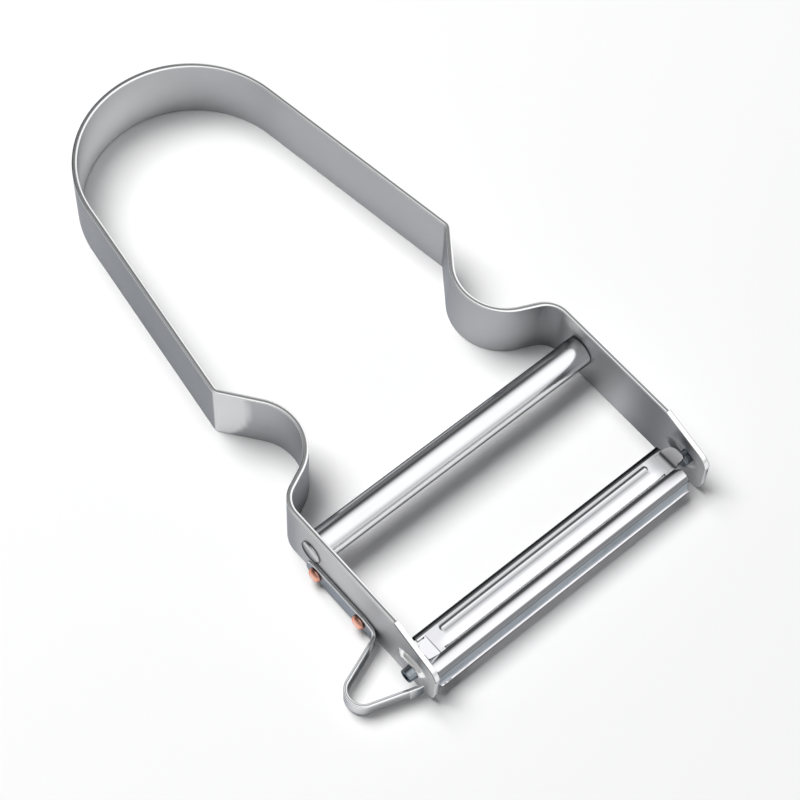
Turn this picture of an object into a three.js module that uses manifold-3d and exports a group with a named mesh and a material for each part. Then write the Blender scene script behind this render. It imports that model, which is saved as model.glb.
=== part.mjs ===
// Y-shaped vegetable peeler: one bent aluminium strip is handle and fork, a round crossbar is
// riveted between the fork's arms, a sheet-steel blade swivels in the arm ends, and a narrow
// steel loop for potato eyes is riveted to one arm with two copper rivets.
// Millimetres. X runs across the fork, Y from the arm ends to the handle loop, Z up.
import * as THREE from 'three';
import { mergeVertices } from 'three/addons/utils/BufferGeometryUtils.js';
import Module from 'manifold-3d';

// Frame strip: sizes across are to the middle of the strip, on each side of the centre plane
const LENGTH = 109; // arm ends to the outside of the loop
const STRIP_WIDTH = 12;
const STRIP_THICK = 0.85;
const STRIP_EDGE = 0.2; // rounding of the strip's long edges
const LOOP_RADIUS = 18.1;
const GRIP_HALF = 23.1; // widest place of the handle
const GRIP_Y = 55.2;
const GRIP_RADIUS = 1.4;
const NOTCH_HALF = 12.5; // finger notch, where its two flanks would meet
const NOTCH_Y = 41.1;
const NOTCH_RADIUS = 8.3;
const ARM_HALF = 26.75;
const SHOULDER_Y = 34.4;
const SHOULDER_RADIUS = 4.1;

// Arm ends: the upper edge slopes down to a rounded nose
const TAPER_START = 9.3; // from the arm end
const NOSE_HEIGHT = 8.65;
const NOSE_TOP_RADIUS = 2.6;
const NOSE_LOW_RADIUS = 2.2;

// Lead-in pressed outward in each arm end, deepest at the pivot hole
const RIDGE_LENGTH = 4.5; // from the pivot towards the handle
const RIDGE_END = 2.1; // from the pivot towards the arm end
const RIDGE_RADIUS = 1.7;
const RIDGE_DEPTH = 0.8;

// Blade pivot
const PIVOT_Y = 4;
const PIVOT_Z = 5.5;
const JOURNAL_RADIUS = 1.1;
const JOURNAL_OUT_LEFT = 1.3; // beyond the top of the pressed ridge
const JOURNAL_OUT_RIGHT = 0.35;
const JOURNAL_BORE = 0.5;
const JOURNAL_BORE_DEPTH = 2.2;
const JOURNAL_SEAM = 0.16;
const JOURNAL_CHAMFER = 0.15;
const RUNNING_FIT = 0.08; // radial play of the journal in its hole

// Blade section: Y and Z from the pivot axis, to the middle of the sheet
const SHEET_THICK = 0.5;
const EAR_GAP = 1.6; // between each end ear and its arm
const GUARD_SETBACK = 0.15; // plate and guard end inside the middle of the ears
const PLATE_Z = -0.25;
const REAR_Y = 4;
const REAR_LIP = 0.85; // turned-down rear edge
const REAR_RADIUS = 0.45;
const SLOT_END = 2.4; // plate beyond each end of the slot
const SLOT_WIDTH = 1.85;
const SLOT_RADIUS = 0.35;
const EDGE_BEVEL = 0.35; // ground cutting edge behind the slot
const EDGE_LAND = 0.1;
const GUARD_REAR_Y = -0.45; // rear edge of the guard, in front of the slot
const GUARD_WIDTH = 2.25;
const GUARD_CROWN_RUN = 1.32; // from its rear edge to where its two slopes would meet
const GUARD_RISE = 0.22; // height of that point above the plate
const GUARD_DROP = 0.75; // front crease of the guard, below the plate
const GUARD_RADIUS = 2.3;
const GUARD_LEFT_END = 1; // the guard stands out this far past the plate's left end
const FOLD_RADIUS = 0.3;
const WALL_HEIGHT = 2.3; // front wall below the crease
const WALL_SLANT = 0.4;
const FOOT_LIP = 0.7; // foot turned out at the bottom of the front wall
const BEAD_END = 1.3; // the bead ends inside the slot's ends
const BEAD_Y = 2.45;
const BEAD_RADIUS = 0.55;
const BEAD_HEIGHT = 0.3;

// Ears folded up at the plate's ends; they carry the journals
const EAR_FRONT = -0.6;
const EAR_REAR = 3.45;
const EAR_TOP = 2.85;
const EAR_FRONT_RADIUS = 0.6;
const EAR_REAR_RADIUS = 2.5;
const EAR_BEND = 0.6;

// Crossbar, riveted over at both ends
const BAR_Y = 27.6;
const BAR_Z = 6.3;
const BAR_RADIUS = 2.5;
const BAR_CHAMFER = 0.2;
const TENON_RADIUS = 1.4;
const HEAD_RADIUS = 1.95;
const HEAD_RIM = 0.15;
const HEAD_RISE = 0.45;
const SEAT_GAP = 0.1; // between riveted faces and round riveted shanks

// Eye remover on the arm at negative X
const EYE_THICK = 0.6;
const EYE_LOW_Z = 0.45; // its lower edge
const EYE_BASE_HEIGHT = 3.7;
const EYE_LOOP_HEIGHT = 2.9;
const EYE_REAR_RADIUS = 1.8;
const EYE_REAR_Y = 28.1;
const EYE_STEP_REAR_Y = 15.2; // the strip narrows from here
const EYE_LEAVE_Y = 12.5; // and bends away from the arm here
const EYE_LEAVE_RADIUS = 1.6;
const EYE_REACH = 10.2; // outside of the loop from the arm
const EYE_TIP_Y = 7.1;
const EYE_TIP_WIDTH = 3.7;
const EYE_TIP_RADIUS = 2.5;
const EYE_RETURN_Y = 2; // where the loop comes back to the arm
const EYE_RETURN_GAP = 0.3;
const RIVET_REAR_Y = 25.8;
const RIVET_FRONT_Y = 15.9;
const RIVET_Z = 2.4;
const RIVET_SHANK = 0.8;
const RIVET_DOME = 1.3;
const RIVET_DOME_RISE = 0.85;
const RIVET_TAIL = 1.15;
const RIVET_TAIL_HEIGHT = 0.35;

// Fineness of round faces
const ARC_STEP = THREE.MathUtils.degToRad(7);
const TURN_STEPS = 36;
const SMALL_TURN_STEPS = 24;
const DOME_STEPS = 6;
const BEAD_STEPS = 4;
const WELD = 1e-4; // points nearer than this are one point
const CUT_MARGIN = 2; // how far cutting bodies run past what they cut

const ARM_INNER = ARM_HALF - STRIP_THICK / 2;
const ARM_OUTER = ARM_HALF + STRIP_THICK / 2;

const wasm = await Module();
wasm.setup();

// A closed three.js geometry as a solid that can be joined and cut
function solid(geometry) {
  const bare = geometry.clone();
  bare.deleteAttribute('normal');
  bare.deleteAttribute('uv');
  const merged = mergeVertices(bare, WELD);
  const corners = merged.index.array;
  const triangles = [];
  for (let i = 0; i < corners.length; i += 3) {
    const [a, b, c] = corners.slice(i, i + 3);
    if (a !== b && b !== c && c !== a) triangles.push(a, b, c);
  }
  return new wasm.Manifold(new wasm.Mesh({
    numProp: 3,
    vertProperties: Float32Array.from(merged.attributes.position.array),
    triVerts: Uint32Array.from(triangles),
  }));
}

function part(name, body, material) {
  const { vertProperties, triVerts } = body.getMesh();
  const geometry = new THREE.BufferGeometry();
  geometry.setAttribute('position', new THREE.BufferAttribute(vertProperties, 3));
  geometry.setIndex(new THREE.BufferAttribute(triVerts, 1));
  geometry.computeVertexNormals();
  const mesh = new THREE.Mesh(geometry, material);
  mesh.name = name;
  return mesh;
}

// Points of a line whose corners [x, y, radius] are bent to arcs
function bentLine(corners) {
  const at = ([x, y]) => new THREE.Vector2(x, y);
  const points = [];
  corners.forEach((corner, i) => {
    const here = at(corner);
    const radius = corner[2] ?? 0;
    if (radius === 0) {
      points.push(here);
      return;
    }
    const back = at(corners[i - 1]).sub(here).normalize();
    const on = at(corners[i + 1]).sub(here).normalize();
    const half = back.angleTo(on) / 2;
    const reach = radius / Math.tan(half);
    const centre = back.clone().add(on).setLength(radius / Math.sin(half)).add(here);
    const start = back.clone().multiplyScalar(reach).add(here).sub(centre).angle();
    const end = on.clone().multiplyScalar(reach).add(here).sub(centre).angle();
    const steps = Math.ceil((Math.PI - 2 * half) / ARC_STEP);
    const arc = new THREE.EllipseCurve(
      centre.x, centre.y, radius, radius, start, end, back.cross(on) > 0,
    );
    points.push(...arc.getPoints(steps));
  });
  return points.filter((p, i) => i === 0 || p.distanceTo(points[i - 1]) > WELD);
}

// Outline of a sheet or strip whose middle follows the given points
function ribbon(points, thickness) {
  const normals = points.slice(1).map((p, i) => {
    const along = p.clone().sub(points[i]).normalize();
    return new THREE.Vector2(-along.y, along.x);
  });
  const edge = (shift) => points.map((p, i) => {
    const before = normals[Math.max(i - 1, 0)];
    const after = normals[Math.min(i, normals.length - 1)];
    const mitre = before.clone().add(after).normalize();
    return mitre.multiplyScalar(shift / mitre.dot(before)).add(p);
  });
  return new THREE.Shape([...edge(thickness / 2), ...edge(-thickness / 2).reverse()]);
}

const AXIS_X = new THREE.Vector3(1, 0, 0);
const AXIS_Y = new THREE.Vector3(0, 1, 0);
const AXIS_Z = new THREE.Vector3(0, 0, 1);

// Shape in XY, raised from z0 to z1, with rounded rims if asked for
function raise(shape, z0, z1, rim = 0) {
  const geometry = new THREE.ExtrudeGeometry(shape, {
    depth: z1 - z0 - 2 * rim,
    bevelEnabled: rim > 0,
    bevelThickness: rim,
    bevelSize: rim,
    bevelOffset: -rim,
    bevelSegments: 2,
  });
  return solid(geometry.translate(0, 0, z0 + rim));
}

// Shape in YZ, drawn out along X from x0 to x1
function drawX(shape, x0, x1) {
  const geometry = new THREE.ExtrudeGeometry(shape, { depth: x1 - x0, bevelEnabled: false });
  geometry.applyMatrix4(new THREE.Matrix4().makeBasis(AXIS_Y, AXIS_Z, AXIS_X));
  return solid(geometry.translate(x0, 0, 0));
}

// Shape in XZ, drawn out along Y from y0 to y1
function drawY(shape, y0, y1) {
  const geometry = new THREE.ExtrudeGeometry(shape, { depth: y1 - y0, bevelEnabled: false });
  const basis = new THREE.Matrix4().makeBasis(AXIS_X, AXIS_Z, AXIS_Y.clone().negate());
  return solid(geometry.applyMatrix4(basis).translate(0, y1, 0));
}

// Profile of [x, radius] points, from low to high x, turned about an axis along X
function turnX(profile, [x, y, z] = [0, 0, 0], steps = TURN_STEPS) {
  const points = profile.map(([along, radius]) => new THREE.Vector2(radius, along));
  const geometry = new THREE.LatheGeometry(points, steps).rotateZ(-Math.PI / 2);
  return solid(geometry.translate(x, y, z));
}

const mirrored = (profile) => profile.map(([x, radius]) => [-x, radius]).reverse();

// Quarter-oval profile from a rim of the given radius to the tip of a dome
function dome(rimX, radius, rise) {
  return Array.from({ length: DOME_STEPS + 1 }, (_, i) => {
    const angle = (i / DOME_STEPS) * (Math.PI / 2);
    return [rimX + rise * Math.sin(angle), i === DOME_STEPS ? 0 : radius * Math.cos(angle)];
  });
}

function rod(radius, x0, x1, place) {
  return turnX([[x0, 0], [x0, radius], [x1, radius], [x1, 0]], place);
}

// Frame strip: the sides of the handle touch the loop's arc and lean out to the grip corners
const loopTop = LENGTH - STRIP_THICK / 2;
const loopCentre = loopTop - LOOP_RADIUS;
const gripDrop = loopCentre - GRIP_Y;
const sideLean = Math.atan2(GRIP_HALF, gripDrop)
  - Math.asin(LOOP_RADIUS / Math.hypot(GRIP_HALF, gripDrop));
const loopCorner = GRIP_HALF - (loopTop - GRIP_Y) * Math.tan(sideLean);
const rightSide = [
  [ARM_HALF, -CUT_MARGIN],
  [ARM_HALF, SHOULDER_Y, SHOULDER_RADIUS],
  [NOTCH_HALF, NOTCH_Y, NOTCH_RADIUS],
  [GRIP_HALF, GRIP_Y, GRIP_RADIUS],
  [loopCorner, loopTop, LOOP_RADIUS],
];
const leftSide = rightSide.map(([x, y, radius]) => [-x, y, radius]).reverse();
const stripLine = bentLine([...rightSide, ...leftSide]);
let strip = raise(ribbon(stripLine, STRIP_THICK), 0, STRIP_WIDTH, STRIP_EDGE);

// Everything outside the sloped and rounded arm ends
const noseLine = bentLine([
  [NOSE_LOW_RADIUS, 0],
  [0, 0, NOSE_LOW_RADIUS],
  [0, NOSE_HEIGHT, NOSE_TOP_RADIUS],
  [TAPER_START, STRIP_WIDTH],
]);
const aroundNose = new THREE.Shape([
  ...noseLine,
  new THREE.Vector2(TAPER_START, STRIP_WIDTH + CUT_MARGIN),
  new THREE.Vector2(-2 * CUT_MARGIN, STRIP_WIDTH + CUT_MARGIN),
  new THREE.Vector2(-2 * CUT_MARGIN, -CUT_MARGIN),
  new THREE.Vector2(NOSE_LOW_RADIUS, -CUT_MARGIN),
]);
const pastArms = ARM_OUTER + CUT_MARGIN;
strip = strip.subtract(drawX(aroundNose, -pastArms, pastArms));

// Flattened oval along the arm, for the pressed lead-in
function ridge(x) {
  const end = mirrored(dome(0, RIDGE_RADIUS, RIDGE_END));
  const profile = [...end, ...dome(0, RIDGE_RADIUS, RIDGE_LENGTH).slice(1)];
  const points = profile.map(([along, radius]) => new THREE.Vector2(radius, along));
  const geometry = new THREE.LatheGeometry(points, TURN_STEPS);
  geometry.scale(RIDGE_DEPTH / RIDGE_RADIUS, 1, 1);
  return solid(geometry.translate(x, PIVOT_Y, PIVOT_Z));
}

const barPlace = [0, BAR_Y, BAR_Z];
const rivetPlaces = [[0, RIVET_REAR_Y, RIVET_Z], [0, RIVET_FRONT_Y, RIVET_Z]];
const rivetHole = RIVET_SHANK + SEAT_GAP;
strip = strip
  .add(ridge(ARM_OUTER))
  .add(ridge(-ARM_OUTER))
  .subtract(ridge(ARM_INNER))
  .subtract(ridge(-ARM_INNER))
  .subtract(rod(JOURNAL_RADIUS + RUNNING_FIT, -pastArms, pastArms, [0, PIVOT_Y, PIVOT_Z]))
  .subtract(rod(TENON_RADIUS + SEAT_GAP, -pastArms, pastArms, barPlace));
for (const place of rivetPlaces) strip = strip.subtract(rod(rivetHole, -pastArms, 0, place));

// Crossbar: shouldered bar with a tenon through each arm and a head riveted over it
const barHalf = ARM_INNER - SEAT_GAP;
const headFace = ARM_OUTER + SEAT_GAP;
const barEnd = [
  [barHalf - BAR_CHAMFER, BAR_RADIUS],
  [barHalf, BAR_RADIUS - BAR_CHAMFER],
  [barHalf, TENON_RADIUS],
  [headFace, TENON_RADIUS],
  [headFace, HEAD_RADIUS],
  ...dome(headFace + HEAD_RIM, HEAD_RADIUS, HEAD_RISE),
];
const bar = turnX([...mirrored(barEnd), ...barEnd]);

// Blade, about its pivot axis: plate with slot and bead, crowned guard, front wall with foot
const earX = ARM_INNER - EAR_GAP - SHEET_THICK / 2;
const guardHalf = earX - GUARD_SETBACK;
const slotHalf = guardHalf - SLOT_END;
const beadHalf = slotHalf - BEAD_END;
const guardFrontY = GUARD_REAR_Y - GUARD_WIDTH;
const creaseZ = PLATE_Z - GUARD_DROP;
const wallFootY = guardFrontY - WALL_SLANT;
const wallFootZ = creaseZ - WALL_HEIGHT;
const sectionLine = bentLine([
  [REAR_Y, PLATE_Z - REAR_LIP],
  [REAR_Y, PLATE_Z, REAR_RADIUS],
  [GUARD_REAR_Y, PLATE_Z, FOLD_RADIUS],
  [GUARD_REAR_Y - GUARD_CROWN_RUN, PLATE_Z + GUARD_RISE, GUARD_RADIUS],
  [guardFrontY, creaseZ, FOLD_RADIUS],
  [wallFootY, wallFootZ, FOLD_RADIUS],
  [wallFootY - FOOT_LIP, wallFootZ],
]);
const plateTop = PLATE_Z + SHEET_THICK / 2;
const plateUnder = PLATE_Z - SHEET_THICK / 2;
let sheet = drawX(ribbon(sectionLine, SHEET_THICK), -guardHalf, guardHalf);

// Closing walls at the guard's ends
const guardCap = new THREE.Shape(bentLine([
  [GUARD_REAR_Y, PLATE_Z],
  [GUARD_REAR_Y - GUARD_CROWN_RUN, PLATE_Z + GUARD_RISE, GUARD_RADIUS],
  [guardFrontY, creaseZ],
  [wallFootY, wallFootZ],
]));
sheet = sheet
  .add(drawX(guardCap, -guardHalf - GUARD_LEFT_END, -guardHalf + SHEET_THICK))
  .add(drawX(guardCap, guardHalf - SHEET_THICK, guardHalf));

// Pressed bead along the plate
function bead(z) {
  const straight = 2 * (beadHalf - BEAD_RADIUS);
  const geometry = new THREE.CapsuleGeometry(BEAD_RADIUS, straight, BEAD_STEPS, 4 * BEAD_STEPS);
  geometry.rotateZ(Math.PI / 2).scale(1, 1, BEAD_HEIGHT / BEAD_RADIUS);
  return solid(geometry.translate(0, BEAD_Y, z));
}

const slotRear = GUARD_REAR_Y + SLOT_WIDTH;
const slot = new THREE.Shape(bentLine([
  [0, GUARD_REAR_Y],
  [slotHalf, GUARD_REAR_Y, SLOT_RADIUS],
  [slotHalf, slotRear, SLOT_RADIUS],
  [-slotHalf, slotRear, SLOT_RADIUS],
  [-slotHalf, GUARD_REAR_Y, SLOT_RADIUS],
  [-SLOT_RADIUS, GUARD_REAR_Y],
]));
const bevel = new THREE.Shape([
  new THREE.Vector2(slotRear + EDGE_BEVEL, plateTop),
  new THREE.Vector2(slotRear + EDGE_BEVEL, plateTop + SHEET_THICK),
  new THREE.Vector2(slotRear - EDGE_BEVEL, plateTop + SHEET_THICK),
  new THREE.Vector2(slotRear, plateUnder + EDGE_LAND),
]);
sheet = sheet
  .add(bead(plateTop))
  .subtract(bead(plateUnder))
  .subtract(raise(slot, plateUnder - SHEET_THICK, plateTop + SHEET_THICK))
  .subtract(drawX(bevel, -slotHalf + SLOT_RADIUS, slotHalf - SLOT_RADIUS));

// Each end: an ear folded up from the plate, and a journal rolled to a tube with a seam
const earOutline = new THREE.Shape(bentLine([
  [EAR_FRONT, plateUnder],
  [EAR_REAR, plateUnder],
  [EAR_REAR, EAR_TOP, EAR_REAR_RADIUS],
  [EAR_FRONT, EAR_TOP, EAR_FRONT_RADIUS],
  [EAR_FRONT, plateUnder],
]).slice(0, -1));
const earWhole = drawX(earOutline, -earX - SHEET_THICK, earX + SHEET_THICK);
for (const [side, out] of [[-1, JOURNAL_OUT_LEFT], [1, JOURNAL_OUT_RIGHT]]) {
  const earLine = bentLine([
    [side * (earX - EAR_BEND - SHEET_THICK), PLATE_Z],
    [side * earX, PLATE_Z, EAR_BEND],
    [side * earX, EAR_TOP],
  ]);
  const ear = drawY(ribbon(earLine, SHEET_THICK), EAR_FRONT, EAR_REAR).intersect(earWhole);
  const root = earX - SHEET_THICK / 2;
  const end = ARM_OUTER + RIDGE_DEPTH + out;
  const boreEnd = end - JOURNAL_BORE_DEPTH;
  const profile = [
    [root, 0],
    [root, JOURNAL_RADIUS],
    [end - JOURNAL_CHAMFER, JOURNAL_RADIUS],
    [end, JOURNAL_RADIUS - JOURNAL_CHAMFER],
    [end, JOURNAL_BORE],
    [boreEnd, JOURNAL_BORE],
    [boreEnd, 0],
  ];
  const journal = turnX(side < 0 ? mirrored(profile) : profile);
  const reach = JOURNAL_RADIUS + CUT_MARGIN;
  const seam = new THREE.BoxGeometry(JOURNAL_BORE_DEPTH, reach, JOURNAL_SEAM);
  seam.translate(side * (end - JOURNAL_BORE_DEPTH / 2 + JOURNAL_SEAM), -reach / 2, 0);
  sheet = sheet.add(ear).add(journal.subtract(solid(seam)));
}

// Eye remover: strip along the arm, bent out to a loop and back to the arm
const eyeLine = -(ARM_OUTER + SEAT_GAP + EYE_THICK / 2);
const eyeTip = -(ARM_OUTER + EYE_REACH - EYE_THICK / 2);
const eyePlan = bentLine([
  [eyeLine, EYE_REAR_Y + CUT_MARGIN],
  [eyeLine, EYE_LEAVE_Y, EYE_LEAVE_RADIUS],
  [eyeTip, EYE_TIP_Y + EYE_TIP_WIDTH / 2, EYE_TIP_RADIUS],
  [eyeTip, EYE_TIP_Y - EYE_TIP_WIDTH / 2, EYE_TIP_RADIUS],
  [-(ARM_OUTER + EYE_RETURN_GAP), EYE_RETURN_Y],
]);
const eyeTop = EYE_LOW_Z + EYE_BASE_HEIGHT;
const eyeSide = new THREE.Shape(bentLine([
  [-CUT_MARGIN, EYE_LOW_Z],
  [EYE_REAR_Y, EYE_LOW_Z, EYE_REAR_RADIUS],
  [EYE_REAR_Y, eyeTop, EYE_REAR_RADIUS],
  [EYE_STEP_REAR_Y, eyeTop],
  [EYE_LEAVE_Y, EYE_LOW_Z + EYE_LOOP_HEIGHT],
  [-CUT_MARGIN, EYE_LOW_Z + EYE_LOOP_HEIGHT],
]));
const eyeBlank = raise(ribbon(eyePlan, EYE_THICK), -CUT_MARGIN, eyeTop + CUT_MARGIN);
let eye = eyeBlank.intersect(drawX(eyeSide, -ARM_OUTER - 2 * EYE_REACH, 0));
for (const place of rivetPlaces) eye = eye.subtract(rod(rivetHole, -pastArms, 0, place));

// Copper rivets: dome outside the eye remover, shank through both, flat tail inside the arm
const domeFace = -eyeLine + EYE_THICK / 2 + SEAT_GAP;
const tailFace = ARM_INNER - SEAT_GAP;
const rivetProfile = [
  [tailFace - RIVET_TAIL_HEIGHT, 0],
  [tailFace - RIVET_TAIL_HEIGHT, RIVET_TAIL],
  [tailFace, RIVET_TAIL],
  [tailFace, RIVET_SHANK],
  [domeFace, RIVET_SHANK],
  ...dome(domeFace, RIVET_DOME, RIVET_DOME_RISE),
];
const rivet = turnX(mirrored(rivetProfile), [0, 0, 0], SMALL_TURN_STEPS);

const aluminium = new THREE.MeshStandardMaterial({
  color: 0xb9bcc0, roughness: 0.42, metalness: 1,
});
const polished = new THREE.MeshStandardMaterial({
  color: 0xd4d8dc, roughness: 0.16, metalness: 1,
});
const steel = new THREE.MeshStandardMaterial({ color: 0xc6cace, roughness: 0.2, metalness: 1 });
const loopSteel = new THREE.MeshStandardMaterial({
  color: 0x8d979e, roughness: 0.35, metalness: 1,
});
const copper = new THREE.MeshStandardMaterial({ color: 0xd07a58, roughness: 0.3, metalness: 1 });

const peeler = new THREE.Group();
const crossbar = part('crossbar', bar, polished);
crossbar.position.set(...barPlace);
const blade = part('blade', sheet, steel);
blade.position.set(0, PIVOT_Y, PIVOT_Z);
const rivets = rivetPlaces.map((place, i) => {
  const mesh = part(['rivet_rear', 'rivet_front'][i], rivet, copper);
  mesh.position.set(...place);
  return mesh;
});
peeler.add(
  part('frame_strip', strip, aluminium), crossbar, blade,
  part('eye_remover', eye, loopSteel), ...rivets,
);

// The origin is under the middle of the outline, on the plane of the strip's lower edge
const box = new THREE.Box3().setFromObject(peeler);
peeler.position.set(-(box.min.x + box.max.x) / 2, -(box.min.y + box.max.y) / 2, -box.min.z);

const model = new THREE.Group();
model.add(peeler);
export default model;
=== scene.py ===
"""Looks of a Y-shaped vegetable peeler: bent strip handle, crossbar, swivelling blade, eye remover.

Every piece is drawn in millimetres from the arm ends (x across the fork, y towards the handle loop,
z up from the strip's lower edge) and then set into the row frame.
"""

import logging
import math
from collections.abc import Callable, Sequence
from dataclasses import dataclass, field
from enum import Enum
from typing import Any

import bmesh
import bpy
from mathutils import Matrix, Vector


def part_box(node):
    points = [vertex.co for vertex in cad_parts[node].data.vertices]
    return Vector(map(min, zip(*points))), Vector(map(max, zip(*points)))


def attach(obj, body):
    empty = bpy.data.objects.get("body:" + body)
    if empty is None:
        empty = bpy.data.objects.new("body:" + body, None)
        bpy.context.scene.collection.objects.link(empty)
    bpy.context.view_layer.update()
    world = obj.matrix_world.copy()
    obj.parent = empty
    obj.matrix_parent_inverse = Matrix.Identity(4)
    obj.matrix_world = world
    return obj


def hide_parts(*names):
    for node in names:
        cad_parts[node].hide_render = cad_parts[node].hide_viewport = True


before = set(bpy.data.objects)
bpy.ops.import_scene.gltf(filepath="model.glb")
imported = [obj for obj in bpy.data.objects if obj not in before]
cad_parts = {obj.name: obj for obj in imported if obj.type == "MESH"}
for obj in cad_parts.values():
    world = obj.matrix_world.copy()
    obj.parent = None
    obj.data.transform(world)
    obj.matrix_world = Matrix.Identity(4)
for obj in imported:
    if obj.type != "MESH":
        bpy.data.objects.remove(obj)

log = logging.getLogger("peeler")

Point = tuple[float, float]
Corner = tuple[float, float, float]
Colour = tuple[float, float, float]
Rows = list[list[Vector]]
Socket = bpy.types.NodeSocket

MM = 0.001  # metres in a millimetre
CLOSE = 1e-6  # places nearer than this are the same, in millimetres
MERGE = 1e-5  # corner points nearer than this become one, in millimetres
SHORTEST = 1e-4  # shortest step along a bent line, in millimetres
NEAR = 1e-3  # radius at the poles of a turned shape, and reach of a place along the blade
SHARPEST = 0.5  # cosine of half the sharpest turn at which an offset keeps its width
PAINTED_LIGHT_MAP = "wear"  # mesh attribute of painted light: 1 for a painted highlight, -1 for painted shade
GRAIN_MAP = "grain"  # UV map with the length along a strip and the girth


def share(value: float) -> float:
    """Returns a value held between 0 and 1."""
    return min(1.0, max(0.0, value))


@dataclass(frozen=True)
class Fade:
    """A rise from 0 to 1.

    Attributes:
        start: where it starts.
        run: its length, negative where the rise runs towards smaller places.
    """

    start: float
    run: float

    def at(self, place: float) -> float:
        """Returns the height of the rise at a place."""
        return share((place - self.start) / self.run)


@dataclass(frozen=True)
class Wiring:
    """Adds nodes to a tree and links them in one step.

    Attributes:
        tree: the node tree.
    """

    tree: bpy.types.NodeTree

    def fill(self, node: bpy.types.Node, sockets: dict[int | str, Any]) -> bpy.types.Node:
        """Sets or links inputs of a node.

        Args:
            node: the node.
            sockets: a value or another node's output for each input.

        Returns:
            The same node.
        """
        for key, value in sockets.items():
            if isinstance(value, Socket):
                self.tree.links.new(value, node.inputs[key])
            else:
                node.inputs[key].default_value = value
        return node

    def node(
        self, kind: str, sockets: dict[int | str, Any] | None = None, **settings: Any
    ) -> bpy.types.Node:
        """Adds a node.

        Args:
            kind: the node's type.
            sockets: a value or another node's output for each input.
            settings: the node's other settings.

        Returns:
            The node.
        """
        made = self.tree.nodes.new(kind)
        for name, value in settings.items():
            setattr(made, name, value)
        return self.fill(made, sockets or {})

    def math(self, operation: str, *values: Socket | float) -> Socket:
        """Returns the result of a math node."""
        return self.node("ShaderNodeMath", dict(enumerate(values)), operation=operation).outputs[0]

    def vector(self, operation: str, *values: Socket | Colour) -> bpy.types.Node:
        """Returns a vector math node."""
        return self.node("ShaderNodeVectorMath", dict(enumerate(values)), operation=operation)

    def span(self, value: Socket, start: tuple[float, Any], end: Point) -> Socket:
        """Moves a value from one range to another one.

        Args:
            value: the value.
            start: the range that it comes from.
            end: the range that it goes to.

        Returns:
            The moved value.
        """
        sockets = {"Value": value, "From Min": start[0], "From Max": start[1]}
        sockets |= {"To Min": end[0], "To Max": end[1]}
        return self.node("ShaderNodeMapRange", sockets).outputs["Result"]

    def ramp(self, value: Socket, stops: Sequence[tuple[float, Colour]]) -> Socket:
        """Adds a colour ramp.

        Args:
            value: what the ramp reads.
            stops: place and colour of each stop, in order.

        Returns:
            The colour.
        """
        made = self.node("ShaderNodeValToRGB", {"Fac": value})
        spot_tones = made.color_ramp.elements
        spot_tones.remove(spot_tones[-1])
        for i, (place, colour) in enumerate(stops):
            mark = spot_tones.new(place) if i else spot_tones[0]
            mark.position = place
            mark.color = (*colour, 1)
        return made.outputs["Color"]

    def seen(self) -> Socket:
        """Tells the rays that show a background from those that light the peeler.

        Returns:
            A socket that is 1 for camera, glossy and transmission rays.
        """
        path = self.node("ShaderNodeLightPath").outputs
        level = self.math("MAXIMUM", path["Is Camera Ray"], path["Is Glossy Ray"])
        return self.math("MAXIMUM", level, path["Is Transmission Ray"])

    def choose(self, amount: Socket, first: Socket, second: Socket, output: str) -> None:
        """Mixes two shaders, by the second one's share, into the named output node."""
        mixed = self.node("ShaderNodeMixShader", {0: amount, 1: first, 2: second})
        self.fill(self.tree.nodes[output], {"Surface": mixed.outputs[0]})


class Body(Enum):
    """The two rigid bodies of the peeler."""

    FRAME = "frame"
    BLADE = "blade"


class Grain(Enum):
    """How the fine lines of a finish lie on the metal."""

    ALONG_STRIP = "along the strip"
    ALONG_X = "across the fork"
    AROUND = "all over"


@dataclass(frozen=True)
class Bench:
    """Sets millimetres from the arm ends into the row frame.

    Attributes:
        origin: the row-frame place of the point between the arm ends, on the lower edge.
    """

    origin: Vector

    @classmethod
    def on_strip(cls) -> "Bench":
        """Returns the bench of this peeler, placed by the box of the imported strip."""
        low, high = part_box("frame_strip")
        return cls(Vector(((low[0] + high[0]) / 2, low[1], low[2])))

    def matrix(self) -> Matrix:
        """Returns the matrix from bench millimetres to row metres."""
        return Matrix.Translation(self.origin) @ Matrix.Scale(MM, 4)

    def place(self, x: float, y: float, z: float) -> Vector:
        """Returns a point in bench millimetres as a place in the row frame."""
        return self.matrix() @ Vector((x, y, z))


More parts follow.
